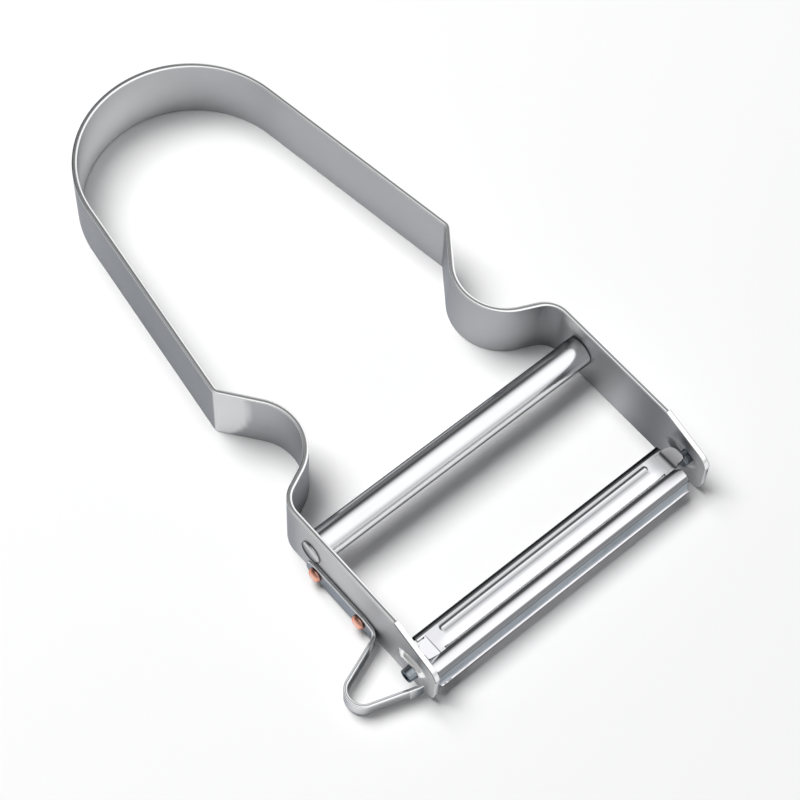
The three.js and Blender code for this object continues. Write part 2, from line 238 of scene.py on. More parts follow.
@dataclass(frozen=True)
class MetalFinish:
    """A metal surface with fine lines, soft smudges, painted highlights and painted shade.

    Attributes:
        name: the material's name.
        light: colour on the high places of the grain.
        dark: colour in the low places of the grain.
        edge: tint of reflections at a grazing angle.
        smooth: lowest roughness.
        rough: highest roughness.
        grain: how the fine lines lie.
        grain_mm: width of the fine lines.
        bump: strength of the lines' relief.
        smudge_mm: size of the soft smudges.
        painted_highlight: colour of the painted highlights.
        painted_shade: colour of the painted shade.
        stretch: length of the fine lines in their own widths.
        relief_m: depth of the lines' relief in metres.
        tones: shares of lines and smudges that show the dark and the light colour.
        shines: shares of lines and smudges that have the lowest and the highest roughness.
        gloss_steps: half the roughness factor at each amount of painted light.
    """

    name: str
    light: Colour
    dark: Colour
    edge: Colour
    smooth: float
    rough: float
    grain: Grain
    grain_mm: float
    bump: float
    smudge_mm: float
    painted_highlight: Colour = (0.94, 0.94, 0.94)
    painted_shade: Colour = (0.08, 0.085, 0.09)
    stretch: float = 60.0
    relief_m: float = 0.00002
    tones: Point = (0.3, 0.7)
    shines: Point = (0.35, 0.65)
    gloss_steps: tuple[Point, ...] = ((0.0, 0.5), (0.5, 0.8), (0.9, 0.85), (1.0, 0.23))

    def coordinates(self, wires: Wiring) -> Socket:
        """Adds the coordinates that the grain lies on.

        Args:
            wires: the material's wiring.

        Returns:
            The vector socket, scaled to one unit per line width.
        """
        across = 1 / MM / self.grain_mm
        along = across / self.stretch
        if self.grain is Grain.ALONG_STRIP:
            source = wires.node("ShaderNodeUVMap", uv_map=GRAIN_MAP).outputs["UV"]
            scale = (along, across, 1)
        else:
            source = wires.node("ShaderNodeTexCoord").outputs["Object"]
            scale = (along, across, across) if self.grain is Grain.ALONG_X else (across,) * 3
        return wires.node("ShaderNodeMapping", {"Vector": source, "Scale": scale}).outputs["Vector"]

    def material(self) -> bpy.types.Material:
        """Builds the node material.

        Returns:
            The finished material.
        """
        made = bpy.data.materials.new(self.name)
        made.use_nodes = True
        wires = Wiring(made.node_tree)

        def noise(place: Socket, scale: float, detail: float) -> Socket:
            """Returns a noise on the given coordinates."""
            sockets = {"Vector": place, "Scale": scale, "Detail": detail}
            return wires.node("ShaderNodeTexNoise", sockets).outputs["Fac"]

        lines = noise(self.coordinates(wires), 1.0, 3.0)
        place = wires.node("ShaderNodeTexCoord").outputs["Object"]
        smudges = noise(place, 1 / MM / self.smudge_mm, 4.0)
        both = wires.math("MULTIPLY_ADD", lines, 0.5, wires.math("MULTIPLY", smudges, 0.5))
        colour = wires.ramp(both, list(zip(self.tones, (self.dark, self.light))))
        # Painted light: above 0 it mixes in the painted highlight colour, below 0 the painted shade
        # colour, and it also sets the roughness.
        wear = wires.node("ShaderNodeAttribute", attribute_name=PAINTED_LIGHT_MAP).outputs["Fac"]
        shade_share = wires.math("MULTIPLY", wear, -1.0)
        for amount, tone in ((wear, self.painted_highlight), (shade_share, self.painted_shade)):
            blend = wires.node("ShaderNodeMix", {"Factor": amount}, data_type="RGBA")
            first, second = [i for i, socket in enumerate(blend.inputs) if socket.type == "RGBA"]
            wires.fill(blend, {first: colour, second: (*tone, 1)})
            colour = next(socket for socket in blend.outputs if socket.type == "RGBA")

        gloss = wires.span(both, self.shines, (self.smooth, self.rough))
        gloss_scale = wires.ramp(wear, [(at, (level,) * 3) for at, level in self.gloss_steps])
        rough = wires.math("MULTIPLY", gloss, wires.math("MULTIPLY", gloss_scale, 2.0))
        bump = {"Strength": self.bump, "Distance": self.relief_m, "Height": lines}
        relief = wires.node("ShaderNodeBump", bump).outputs["Normal"]
        wires.fill(made.node_tree.nodes["Principled BSDF"], {
            "Metallic": 1.0, "Specular Tint": (*self.edge, 1), "Base Color": colour,
            "Roughness": rough, "Normal": relief,
        })
        return made


SATIN_ALUMINIUM = MetalFinish(
    "satin_aluminium", (0.50, 0.505, 0.52), (0.43, 0.435, 0.45), (0.45, 0.47, 0.5),
    0.34, 0.42, Grain.ALONG_STRIP, 0.12, 0.10, 14.0,
)
BRIGHT_BAR = MetalFinish(
    "bright_bar", (0.86, 0.87, 0.89), (0.78, 0.79, 0.81), (0.02, 0.022, 0.026),
    0.12, 0.18, Grain.ALONG_X, 0.10, 0.05, 9.0,
)
BLADE_STEEL = MetalFinish(
    "blade_steel", (0.87, 0.87, 0.90), (0.79, 0.79, 0.82), (0.02, 0.022, 0.026),
    0.12, 0.18, Grain.ALONG_X, 0.08, 0.04, 7.0,
)
OILED_STEEL = MetalFinish(
    "oiled_steel", (0.38, 0.42, 0.46), (0.24, 0.27, 0.30), (0.05, 0.055, 0.06),
    0.20, 0.30, Grain.AROUND, 0.15, 0.08, 2.0,
)
# Darker brushed copy of the blade steel, as painted shade on the blade's front wall.
SHADED_BRUSHED_STEEL = MetalFinish(
    "brushed_steel", (0.62, 0.66, 0.70), (0.42, 0.46, 0.50), (0.3, 0.32, 0.34),
    0.22, 0.34, Grain.ALONG_X, 0.25, 0.10, 5.0,
)
SPRING_STEEL = MetalFinish(
    "spring_steel", (0.52, 0.55, 0.59), (0.43, 0.46, 0.50), (0.35, 0.37, 0.4),
    0.26, 0.36, Grain.ALONG_STRIP, 0.10, 0.08, 6.0,
)
COPPER = MetalFinish(
    "copper", (0.96, 0.50, 0.38), (0.86, 0.40, 0.29), (0.85, 0.5, 0.4),
    0.24, 0.34, Grain.AROUND, 0.25, 0.10, 1.2,
)


def bent_line(corners: Sequence[Corner], turn_deg: float, spacing: float) -> list[Point]:
    """Draws a line whose corners are bent to arcs.

    Args:
        corners: x, y and bend radius of each corner; the two ends have radius 0.
        turn_deg: turn between two points of an arc.
        spacing: longest step on the straight runs.

    Returns:
        The points along the line.
    """
    raw: list[Vector] = []
    for i, (x, y, radius) in enumerate(corners):
        here = Vector((x, y))
        if radius == 0:
            raw.append(here)
            continue
        back = (Vector(corners[i - 1][:2]) - here).normalized()
        on = (Vector(corners[i + 1][:2]) - here).normalized()
        half = back.angle(on) / 2
        centre = here + (back + on).normalized() * (radius / math.sin(half))
        start = here + back * (radius / math.tan(half)) - centre
        turn = math.pi - 2 * half
        if back.x * on.y - back.y * on.x > 0:
            turn = -turn
        steps = max(2, math.ceil(abs(turn) / math.radians(turn_deg)))
        for k in range(steps + 1):
            angle = turn * k / steps
            c, s = math.cos(angle), math.sin(angle)
            raw.append(centre + Vector((c * start.x - s * start.y, s * start.x + c * start.y)))
    points: list[Point] = []
    for a, b in zip(raw, raw[1:]):
        steps = max(1, math.ceil((b - a).length / spacing))
        points += [tuple(a.lerp(b, k / steps)) for k in range(steps)]
    points.append(tuple(raw[-1]))
    return [p for i, p in enumerate(points) if i == 0 or math.dist(p, points[i - 1]) > SHORTEST]


def normals_of(points: Sequence[Point]) -> list[Point]:
    """Gives the left-hand normal at each point of a line.

    Args:
        points: the line's points.

    Returns:
        Unit normals, widened at corners so that an offset keeps its width.
    """
    sides = []
    for a, b in zip(points, points[1:]):
        d = (Vector(b) - Vector(a)).normalized()
        sides.append(Vector((-d.y, d.x)))
    out = []
    for i in range(len(points)):
        before, after = sides[max(i - 1, 0)], sides[min(i, len(sides) - 1)]
        mitre = (before + after).normalized()
        mitre /= max(mitre.dot(before), SHARPEST)
        out.append((mitre.x, mitre.y))
    return out


def added(name: str, data: bpy.types.ID) -> bpy.types.Object:
    """Makes an object and links it into the scene.

    Args:
        name: the object's name.
        data: its mesh, lamp or camera.

    Returns:
        The object.
    """
    obj = bpy.data.objects.new(name, data)
    bpy.context.scene.collection.objects.link(obj)
    return obj


@dataclass
class Draft:
    """A mesh in bench millimetres while it is being drawn.

    Attributes:
        verts: corner points.
        faces: corner numbers of each face.
        uvs: one pair for each corner point, length along and girth, in millimetres.
        wear: painted light at each corner point, up to 1 for a painted highlight, down to -1 for painted
            shade.
    """

    verts: list[Vector] = field(default_factory=list)
    faces: list[list[int]] = field(default_factory=list)
    uvs: list[Point] = field(default_factory=list)
    wear: list[float] = field(default_factory=list)

    def add(self, point: Vector, uv: Point = (0.0, 0.0), wear: float = 0.0) -> int:
        """Adds a corner point.

        Args:
            point: the point.
            uv: length along and girth.
            wear: its painted light, up to 1 for a painted highlight, down to -1 for painted shade.

        Returns:
            Its number.
        """
        self.verts.append(point)
        self.uvs.append(uv)
        self.wear.append(wear)
        return len(self.verts) - 1

    def rings(self, rings: list[list[int]]) -> None:
        """Joins rings of equal length with faces and closes both ends.

        Args:
            rings: corner numbers of each ring, in order.
        """
        for a, b in zip(rings, rings[1:]):
            n = len(a)
            for k in range(n):
                self.faces.append([a[k], a[(k + 1) % n], b[(k + 1) % n], b[k]])
        self.faces.append(list(reversed(rings[0])))
        self.faces.append(list(rings[-1]))

    def join(self, other: "Draft") -> None:
        """Takes in another draft.

        Args:
            other: the draft to take in.
        """
        shift = len(self.verts)
        self.verts += other.verts
        self.uvs += other.uvs
        self.wear += other.wear
        self.faces += [[i + shift for i in face] for face in other.faces]

    def moved(self, matrix: Matrix) -> "Draft":
        """Returns a copy that is moved by a matrix."""
        verts = [matrix @ v for v in self.verts]
        return Draft(verts, [list(f) for f in self.faces], list(self.uvs), list(self.wear))

    def to_object(self, name: str) -> bpy.types.Object:
        """Makes a mesh object with outward faces and the grain map.

        Args:
            name: the object's name.

        Returns:
            The object, still in bench millimetres.
        """
        mesh = bpy.data.meshes.new(name)
        mesh.from_pydata([tuple(v) for v in self.verts], [], self.faces)
        grain = mesh.uv_layers.new(name=GRAIN_MAP)
        for loop in mesh.loops:
            u, v = self.uvs[loop.vertex_index]
            grain.data[loop.index].uv = (u * MM, v * MM)
        mesh.attributes.new(PAINTED_LIGHT_MAP, "FLOAT", "POINT").data.foreach_set("value", self.wear)
        work = bmesh.new()
        work.from_mesh(mesh)
        bmesh.ops.remove_doubles(work, verts=work.verts, dist=MERGE)
        bmesh.ops.recalc_face_normals(work, faces=work.faces)
        work.to_mesh(mesh)
        work.free()
        return added(name, mesh)


def turned(profile: Sequence[Point], steps: int) -> Draft:
    """Turns a profile about the X axis.

    Args:
        profile: x and radius of each point; both ends lie on the axis.
        steps: number of points round the axis.

    Returns:
        The closed draft.
    """
    draft = Draft()
    along = 0.0
    rings: list[list[int]] = []
    last = profile[0]
    for x, radius in profile:
        along += math.dist((x, radius), last)
        last = (x, radius)
        r = max(radius, NEAR)
        turn = 2 * math.pi / steps
        rings.append([
            draft.add(Vector((x, r * math.cos(turn * k), r * math.sin(turn * k))), (along, r * turn * k))
            for k in range(steps)
        ])
    draft.rings(rings)
    return draft


def dome(rim_x: float, radius: float, rise: float, steps: int) -> list[Point]:
    """Gives the quarter-oval profile from a rim to the tip of a dome.

    Args:
        rim_x: place of the rim.
        radius: radius at the rim.
        rise: height of the dome.
        steps: number of steps.

    Returns:
        The profile's points.
    """
    quarter = math.pi / 2
    return [
        (rim_x + rise * math.sin(quarter * k / steps), radius * math.cos(quarter * k / steps))
        for k in range(steps + 1)
    ]


def sheet(
    rows: Rows, thickness: float, lift: Callable[[int, int], float], kept: Callable[[int, int], bool]
) -> Draft:
    """Thickens a grid of points on the middle of a sheet.

    Args:
        rows: the grid.
        thickness: the sheet's thickness.
        lift: how far the upper face lies above the lower one at a grid point, from 0 to 1.
        kept: whether the cell at a grid place is metal.

    Returns:
        The closed draft.
    """
    count, width = len(rows), len(rows[0])
    draft = Draft()
    upper: list[list[int]] = []
    lower: list[list[int]] = []

    def metal(i: int, j: int) -> bool:
        """Tells whether a cell exists and is metal."""
        return 0 <= i < count - 1 and 0 <= j < width - 1 and kept(i, j)

    def beyond(i: int, j: int, di: int, dj: int) -> Vector:
        """Returns the next grid point in a direction, or the point itself where no metal joins them."""
        cells = [(min(i, i + di), j + k) if di else (i + k, min(j, j + dj)) for k in (-1, 0)]
        return rows[i + di][j + dj] if any(metal(*cell) for cell in cells) else rows[i][j]

    for i in range(count):
        top, under = [], []
        for j in range(width):
            a = beyond(i, j, 1, 0) - beyond(i, j, -1, 0)
            b = beyond(i, j, 0, 1) - beyond(i, j, 0, -1)
            normal = b.cross(a).normalized()
            low = rows[i][j] - normal * thickness / 2
            uv = (rows[i][j].x, rows[i][j].y + rows[i][j].z)
            under.append(draft.add(low, uv))
            top.append(draft.add(low + normal * thickness * lift(i, j), uv))
        upper.append(top)
        lower.append(under)
    for i in range(count - 1):
        for j in range(width - 1):
            if not metal(i, j):
                continue
            ring = [(i, j), (i + 1, j), (i + 1, j + 1), (i, j + 1)]
            draft.faces.append([upper[a][b] for a, b in ring])
            draft.faces.append([lower[a][b] for a, b in reversed(ring)])
            beside = [(i, j - 1), (i + 1, j), (i, j + 1), (i - 1, j)]
            for k, other in enumerate(beside):
                if not metal(*other):
                    (a, b), (c, d) = ring[k], ring[(k + 1) % 4]
                    draft.faces.append([upper[a][b], lower[a][b], lower[c][d], upper[c][d]])
    return draft


@dataclass
class Strip:
    """A flat strip on edge, bent along a line, with rounded long edges.

    Attributes:
        thickness: thickness of the strip.
        edge: rounding of the long edges at a point of the line.
        crown: rise of the edge faces' middle at a point of the line.
        end: rounding of the two ends.
        rows: number of faces up each side.
        reach: lowest and highest z at a point of the line.
        press: outward push of the metal at x, y, z.
        painted_light_at: painted light of a face at x, y, z, on the outside or not, from -1 for painted
            shade to 1 for a painted highlight.
        edge_light: painted light along the middle of the edge faces at x, y.
        middles: places across an edge face that carry that painted light, in shares of its half width.
        border: where the painted highlight along the borders of an edge face starts, in the same shares.
        most_round: largest rounding, as a share of half the thickness.
        arc_steps: number of faces round each long edge.
    """

    thickness: float
    edge: Callable[[float, float], float]
    end: float
    rows: int
    reach: Callable[[float, float], Point]
    press: Callable[[float, float, float], float] = lambda x, y, z: 0.0
    painted_light_at: Callable[[float, float, float, bool], float] = lambda x, y, z, outside: 0.0
    edge_light: Callable[[float, float], float] = lambda x, y: 0.0
    crown: Callable[[float, float], float] = lambda x, y: 0.0
    middles: tuple[float, ...] = (-0.4, 0.0, 0.4)
    border: float = 0.6
    most_round: float = 0.95
    arc_steps: int = 6

    def section(
        self, low: float, high: float, half: float, edge: float, crown: float, edge_light: float
    ) -> list[Corner]:
        """Gives one ring of the strip as offset, height and painted light.

        Args:
            low: lower edge.
            high: upper edge.
            half: half the thickness here.
            edge: rounding of the long edges here.
            crown: rise of the edge faces' middle here.
            edge_light: painted light along the middle of the edge faces here.

        Returns:
            The ring's points, up the outside and down the inside.
        """
        e = min(edge, half * self.most_round)
        # Painted light on the edge faces: edge_light along the middle, a painted highlight along the
        # borders and on the roundings, and painted shade on the outer upper rounding where the middle is
        # painted bright.
        middle = [(k, edge_light) for k in self.middles]
        across = [(-1.0, 1.0), (-self.border, 1.0), *middle, (self.border, 1.0), (1.0, 1.0)]
        low, high = low + crown, high - crown
        heights = [low + e + (high - low - 2 * e) * k / self.rows for k in range(self.rows + 1)]
        turns = [math.pi / 2 / self.arc_steps * k for k in range(1, self.arc_steps)]
        arc = [(e * math.cos(turn), e * math.sin(turn)) for turn in turns]
        outer_round_light = 1.0 if edge_light < 1 else -1.0
        ring = [(-half, z, 0.0) for z in heights]
        ring += [(-half + e - c, high - e + s, outer_round_light) for c, s in arc]
        ring += [(k * (half - e), high + crown * (1 - k * k), wear) for k, wear in across]
        ring += [(half - e + s, high - e + c, 1.0) for c, s in arc]
        ring += [(half, z, 0.0) for z in reversed(heights)]
        ring += [(half - e + c, low + e - s, 1.0) for c, s in arc]
        ring += [(k * (half - e), low - crown * (1 - k * k), wear) for k, wear in reversed(across)]
        ring += [(-half + e - s, low + e - c, 1.0) for c, s in arc]
        return ring

    def along(self, line: Sequence[Point]) -> Draft:
        """Lays the strip along a line.

        Args:
            line: the line, with the strip's inside on its left.

        Returns:
            The closed draft.
        """
        draft = Draft()
        rings: list[list[int]] = []
        normals = normals_of(line)
        total, length = 0.0, sum(math.dist(a, b) for a, b in zip(line, line[1:]))
        for i, ((x, y), (nx, ny)) in enumerate(zip(line, normals)):
            if i:
                total += math.dist(line[i - 1], (x, y))
            low, high = self.reach(x, y)
            end = min(total, length - total)
            half = self.thickness / 2
            if end < self.end:
                half -= self.end - math.sqrt(self.end**2 - (self.end - end) ** 2)
            ring, girth, last = [], 0.0, None
            edge, crown, edge_light = self.edge(x, y), self.crown(x, y), self.edge_light(x, y)
            for offset, z, wear in self.section(low, high, half, edge, crown, edge_light):
                girth += math.dist(last, (offset, z)) if last else 0.0
                last = (offset, z)
                shift = offset - self.press(x, y, z)
                wear = wear or self.painted_light_at(x, y, z, offset < 0)
                ring.append(draft.add(Vector((x + nx * shift, y + ny * shift, z)), (total, girth), wear))
            rings.append(ring)
        draft.rings(rings)
        return draft


def bake(obj: bpy.types.Object) -> bpy.types.Mesh:
    """Applies the modifiers of a piece.

    Args:
        obj: the piece.

    Returns:
        Its new mesh.
    """
    bpy.context.view_layer.update()
    mesh = bpy.data.meshes.new_from_object(obj.evaluated_get(bpy.context.evaluated_depsgraph_get()))
    obj.modifiers.clear()
    old, obj.data = obj.data, mesh
    bpy.data.meshes.remove(old)
    return mesh


def settle(obj: bpy.types.Object, bench: Bench, crease_deg: float) -> None:
    """Applies the modifiers and sets a piece into the row frame.

    Args:
        obj: the piece in bench millimetres.
        bench: the bench that it was drawn on.
        crease_deg: edges sharper than this stay sharp.
    """
    mesh = bake(obj)
    mesh.transform(bench.matrix())
    mesh.polygons.foreach_set("use_smooth", [True] * len(mesh.polygons))
    mesh.set_sharp_from_angle(angle=math.radians(crease_deg))


def soften(obj: bpy.types.Object, width: float, segments: int, angle_deg: float) -> None:
    """Rounds the sharp edges of a piece.

    Args:
        obj: the piece.
        width: width of the rounding in millimetres.
        segments: number of faces across it.
        angle_deg: edges sharper than this are rounded.
    """
    bevel = obj.modifiers.new("rounding", "BEVEL")
    bevel.width = width
    bevel.segments = segments
    bevel.limit_method = "ANGLE"
    bevel.angle_limit = math.radians(angle_deg)
    bevel.use_clamp_overlap = True


def cut(obj: bpy.types.Object, tool: Draft) -> None:
    """Cuts a tool shape out of a piece.

    Args:
        obj: the piece.
        tool: the shape to cut away.
    """
    cutter = tool.to_object("cutter")
    boolean = obj.modifiers.new("cut", "BOOLEAN")
    boolean.operation = "DIFFERENCE"
    boolean.solver = "EXACT"
    boolean.object = cutter
    bake(obj)
    waste = cutter.data
    bpy.data.objects.remove(cutter)
    bpy.data.meshes.remove(waste)


def hand_over(
    obj: bpy.types.Object, finishes: Sequence[MetalFinish], body: Body, slot: str, *nodes: str
) -> None:
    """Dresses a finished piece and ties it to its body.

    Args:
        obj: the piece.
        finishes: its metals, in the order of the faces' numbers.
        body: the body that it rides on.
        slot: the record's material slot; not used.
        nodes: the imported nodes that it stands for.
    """
    numbers = [face.material_index for face in obj.data.polygons]
    obj.data.materials.clear()
    for finish in finishes:
        obj.data.materials.append(finish.material())
    obj.data.polygons.foreach_set("material_index", numbers)
    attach(obj, body.value)
    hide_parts(*nodes)
    names = ", ".join(finish.name for finish in finishes)
    log.info("%s: %d faces, %s", obj.name, len(obj.data.polygons), names)


@dataclass(frozen=True)
class PaintedSpot:
    """A spot of painted highlight or painted shade on the strip.

    Attributes:
        x: place across the fork.
        y: place from the arm ends.
        outside: whether it is on the outside of the strip.
        spread: how far it runs along the strip.
        depth: up to 1 for a painted highlight, down to -1 for painted shade.
        z: height of its middle.
        tall: how far it runs up and down.
    """

    x: float
    y: float
    outside: bool
    spread: float
    depth: float
    z: float = 6.0
    tall: float = 100.0

    def at(self, x: float, y: float, z: float, outside: bool) -> float:
        """Gives the painted light at a place.

        Args:
            x: place across the fork.
            y: place from the arm ends.
            z: height.
            outside: whether the place is on the outside of the strip.

        Returns:
            The painted light, from -1 to 1.
        """
        if outside is not self.outside:
            return 0.0
        away = math.hypot(math.dist((x, y), (self.x, self.y)) / self.spread, (z - self.z) / self.tall)
        return self.depth * max(0.0, 1 - away**2) ** 2


@dataclass
class FrameStrip:
    """The bent strip that is handle, finger notches and fork arms."""

    length: float = 109.0
    width: float = 12.0
    thickness: float = 0.85
    rolled_edge: float = 0.12
    rolled_crown: float = 0.05
    cut_edge: float = 0.1
    loop_radius: float = 18.1
    grip: Corner = (23.1, 55.2, 1.4)
    notch: Corner = (12.5, 41.1, 8.3)
    shoulder: Corner = (26.75, 34.4, 4.1)
    taper_start: float = 9.3
    nose_height: float = 8.65
    nose_top_radius: float = 2.6
    nose_low_radius: float = 2.3
    pivot: Point = (4.0, 5.5)
    hole_radius: float = 1.18
    ridge_length: float = 4.5
    ridge_end: float = 2.1
    ridge_radius: float = 1.9
    ridge_depth: float = 0.8
    ridge_flank: float = 0.45
    # Painted highlight on the upper flank of the pressed ridge, between these shares of its depth.
    ridge_highlight: Point = (0.08, 0.95)
    nose_steps: tuple[float, ...] = (
        0.0, 0.01, 0.03, 0.06, 0.1, 0.2, 0.3, 0.45, 0.65, 0.9, 1.2, 1.5, 1.8, 2.2,
    )
    arm_step: float = 0.2
    taper_corner: float = 0.05
    turn_step: float = 2.5
    line_step: float = 0.8
    rows: int = 72
    hole_sides: int = 48
    past_arms: float = 4.0
    crease: float = 32.0
    # Painted highlight along the middle of the cut edge faces at the arm ends, painted shade along the
    # middle of the rolled ones.
    cut_highlight: float = 1.0
    rolled_shade: float = -0.4
    # Painted reflection in front of the left grip corner, a bright patch on the outside.
    patch_highlight: float = 0.74
    patch_reach: float = 5.3
    patch_height: Point = (8.5, 9.0)
    patch_border: float = 0.7
    patch_behind: float = 0.2
    # Spots of painted light: painted highlights on the loop's inner top, the noses, the left arm's
    # outside and the right arm's inside, where a painted reflection of the bar's end lies too; painted
    # shade on the right arm near the blade, the shoulders, the left handle and the left notch.
    painted_spots: tuple[PaintedSpot, ...] = (
        PaintedSpot(-5.0, 108.0, False, 20.0, 0.9, 3.5, 13.0),
        PaintedSpot(26.4, 29.4, False, 3.4, 0.9, 11.2, 2.6),
        PaintedSpot(-26.75, 22.0, True, 14.0, 0.55),
        PaintedSpot(-26.75, 0.4, True, 4.4, 0.76),
        PaintedSpot(26.75, 0.4, False, 4.4, 0.76),
        PaintedSpot(26.75, 11.5, False, 8.0, -0.65),
        PaintedSpot(25.5, 34.2, False, 5.0, -0.5),
        PaintedSpot(-25.6, 35.6, True, 6.0, -0.6),
        PaintedSpot(-26.75, 8.5, True, 5.0, 0.4),
        PaintedSpot(-20.0, 72.0, True, 34.0, -0.2),
        PaintedSpot(-15.0, 43.0, True, 8.0, -0.42),
        PaintedSpot(26.5, 23.0, False, 8.0, 0.22),
    )

    def line(self) -> list[Point]:
        """Draws the middle line of the strip.

        Returns:
            The points, from the right arm end to the left one.
        """
        top = self.length - self.thickness / 2
        drop = top - self.loop_radius - self.grip[1]
        lean = math.atan2(self.grip[0], drop) - math.asin(
            self.loop_radius / math.hypot(self.grip[0], drop)
        )
        corner = self.grip[0] - (top - self.grip[1]) * math.tan(lean)
        arm, nose, step = self.shoulder[0], self.nose_steps[-1], self.arm_step
        run = [nose + step * k for k in range(1, int((self.taper_start - nose) / step) + 1)]
        bends = [self.taper_start, self.taper_start + self.taper_corner]
        right = [(arm, y) for y in [*self.nose_steps, *run, *bends]]
        bend = bent_line(
            [
                (arm, right[-1][1] + step, 0), self.shoulder, self.notch, self.grip,
                (corner, top, self.loop_radius), (-corner, top, self.loop_radius),
                (-self.grip[0], *self.grip[1:]), (-self.notch[0], *self.notch[1:]),
                (-self.shoulder[0], *self.shoulder[1:]), (-arm, right[-1][1] + step, 0),
            ],
            self.turn_step, self.line_step,
        )
        return [*right, *bend, *[(-x, y) for x, y in reversed(right)]]

    def reach(self, x: float, y: float) -> Point:
        """Gives the lower and upper edge at a point of the line.

        Args:
            x: place across the fork; not used.
            y: place from the arm ends.

        Returns:
            Lowest and highest z.
        """
        low_r, top_r = self.nose_low_radius, self.nose_top_radius
        low = low_r - math.sqrt(low_r**2 - (low_r - y) ** 2) if y < low_r else 0.0
        slope = (self.width - self.nose_height) / self.taper_start
        tilt = math.atan(slope)
        tangent = top_r / math.tan((math.pi / 2 + tilt) / 2)
        centre = self.nose_height - tangent
        if y < tangent * math.cos(tilt):
            high = centre + math.sqrt(top_r**2 - (top_r - y) ** 2)
        else:
            high = min(self.width, self.nose_height + slope * y)
        return low, high

    def edge(self, x: float, y: float) -> float:
        """Returns the rounding of the edges, larger where they are rolled than where they are cut."""
        return self.cut_edge if y <= self.taper_start else self.rolled_edge

    def press(self, x: float, y: float, z: float) -> float:
        """Gives the outward push of the pressed lead-in.

        Args:
            x: place across the fork; not used.
            y: place from the arm ends.
            z: height.

        Returns:
            The push in millimetres.
        """
        ahead = y - self.pivot[0]
        run = self.ridge_length if ahead > 0 else self.ridge_end
        away = math.hypot(ahead / run, (z - self.pivot[1]) / self.ridge_radius)
        rise = share((1.0 - away) / self.ridge_flank)
        return self.ridge_depth * rise * rise * (3 - 2 * rise)

    def edge_light(self, x: float, y: float) -> float:
        """Returns the painted light along the middle of the edge faces: a painted highlight where they
        are cut, painted shade where they are rolled.
        """
        return self.cut_highlight if y <= self.taper_start else self.rolled_shade

    def painted_light_at(self, x: float, y: float, z: float, outside: bool) -> float:
        """Gives the painted spots, the painted highlight on the pressed ridge and the painted reflection
        in front of the left grip corner.

        Args:
            x: place across the fork.
            y: place from the arm ends.
            z: height.
            outside: whether the point is on the outside of the strip.

        Returns:
            The painted light, from -1 to 1.
        """
        spot_tones = sum(painted_spot.at(x, y, z, outside) for painted_spot in self.painted_spots)
        # Painted highlight on the upper flank of the pressed lead-in, on the outside.
        low, high = self.ridge_highlight
        if outside and z > self.pivot[1] and low < self.press(x, y, z) / self.ridge_depth < high:
            return 1.0
        if x > 0 or y > self.grip[1] + self.patch_behind or not outside:
            return spot_tones
        past = math.dist((x, y), (-self.grip[0], self.grip[1]))
        middle, tall = self.patch_height
        reach = self.patch_reach * math.sqrt(max(0.0, 1 - ((z - middle) / tall) ** 2))
        return max(spot_tones, self.patch_highlight * share((reach - past) / self.patch_border + 0.5))

    def build(self, bench: Bench) -> bpy.types.Object:
        """Makes the strip.

        Args:
            bench: the bench to draw on.

        Returns:
            The finished object.
        """
        strip = Strip(
            self.thickness, self.edge, self.cut_edge, self.rows, self.reach, self.press, self.painted_light_at,
            self.edge_light, lambda x, y: 0.0 if y <= self.taper_start else self.rolled_crown,
        )
        obj = strip.along(self.line()).to_object("frame_strip_body")
        reach = self.shoulder[0] + self.past_arms
        rod = [(-reach, 0.0), (-reach, self.hole_radius), (reach, self.hole_radius), (reach, 0.0)]
        cut(obj, turned(rod, self.hole_sides).moved(Matrix.Translation((0, *self.pivot))))
        settle(obj, bench, self.crease)
        return obj

    def dress(self, obj: bpy.types.Object) -> None:
        """Gives the strip its metal."""
        hand_over(obj, [SATIN_ALUMINIUM], Body.FRAME, "strip", "frame_strip")


@dataclass
class Crossbar:
    """The round bar that is riveted over between the arms."""

    place: Point = (27.6, 6.3)
    radius: float = 2.5
    chamfer: float = 0.2
    chamfer_steps: int = 4
    inside: float = 26.225
    outside: float = 27.275
    tenon: float = 1.4
    head_radius: float = 1.95
    head_rim: float = 0.15
    head_rise: float = 0.45
    head_steps: int = 10
    # Painted shade that greys the heads and tenons.
    head_shade: float = -0.25
    sides: int = 96
    crease: float = 32.0
    middles: tuple[float, ...] = (-20.0, -10.0, 0.0, 10.0, 20.0)
    # Painted shade on the side of the bar that faces the loop, fading in with the lean from the top.
    loop_side_depth: float = -0.4
    loop_side_fade: Fade = Fade(22.0, 24.0)
    loop_side_end: float = 120.0

    def loop_side_shade(self, y: float, z: float) -> float:
        """Returns the painted shade on the side of the bar that faces the loop."""
        lean = math.degrees(math.atan2(y, z))
        return self.loop_side_depth * self.loop_side_fade.at(lean) if lean < self.loop_side_end else 0.0

    def build(self, bench: Bench) -> bpy.types.Object:
        """Makes the bar with its two heads.

        Args:
            bench: the bench to draw on.

        Returns:
            The finished object.
        """
        c, start = self.chamfer, self.inside - self.chamfer
        arc = [math.pi / 2 / self.chamfer_steps * k for k in range(self.chamfer_steps + 1)]
        end = [(start + c * math.sin(a), self.radius - c + c * math.cos(a)) for a in arc]
        end += [
            (self.inside, self.tenon), (self.outside, self.tenon), (self.outside, self.head_radius),
            *dome(self.outside + self.head_rim, self.head_radius, self.head_rise, self.head_steps),
        ]
        other = [(-x, r) for x, r in reversed(end)]
        middle = [(x, self.radius) for x in self.middles]
        bar = turned([*other, *middle, *end], self.sides)
        # Painted shade on the loop side of the bar and on the heads and tenons.
        bar.wear = [
            self.loop_side_shade(v.y, v.z) if abs(v.x) < self.inside else self.head_shade for v in bar.verts
        ]
        obj = bar.moved(Matrix.Translation((0, *self.place))).to_object("crossbar_body")
        settle(obj, bench, self.crease)
        return obj

    def dress(self, obj: bpy.types.Object) -> None:
        """Gives the bar its metal."""
        hand_over(obj, [BRIGHT_BAR], Body.FRAME, "bar", "crossbar")


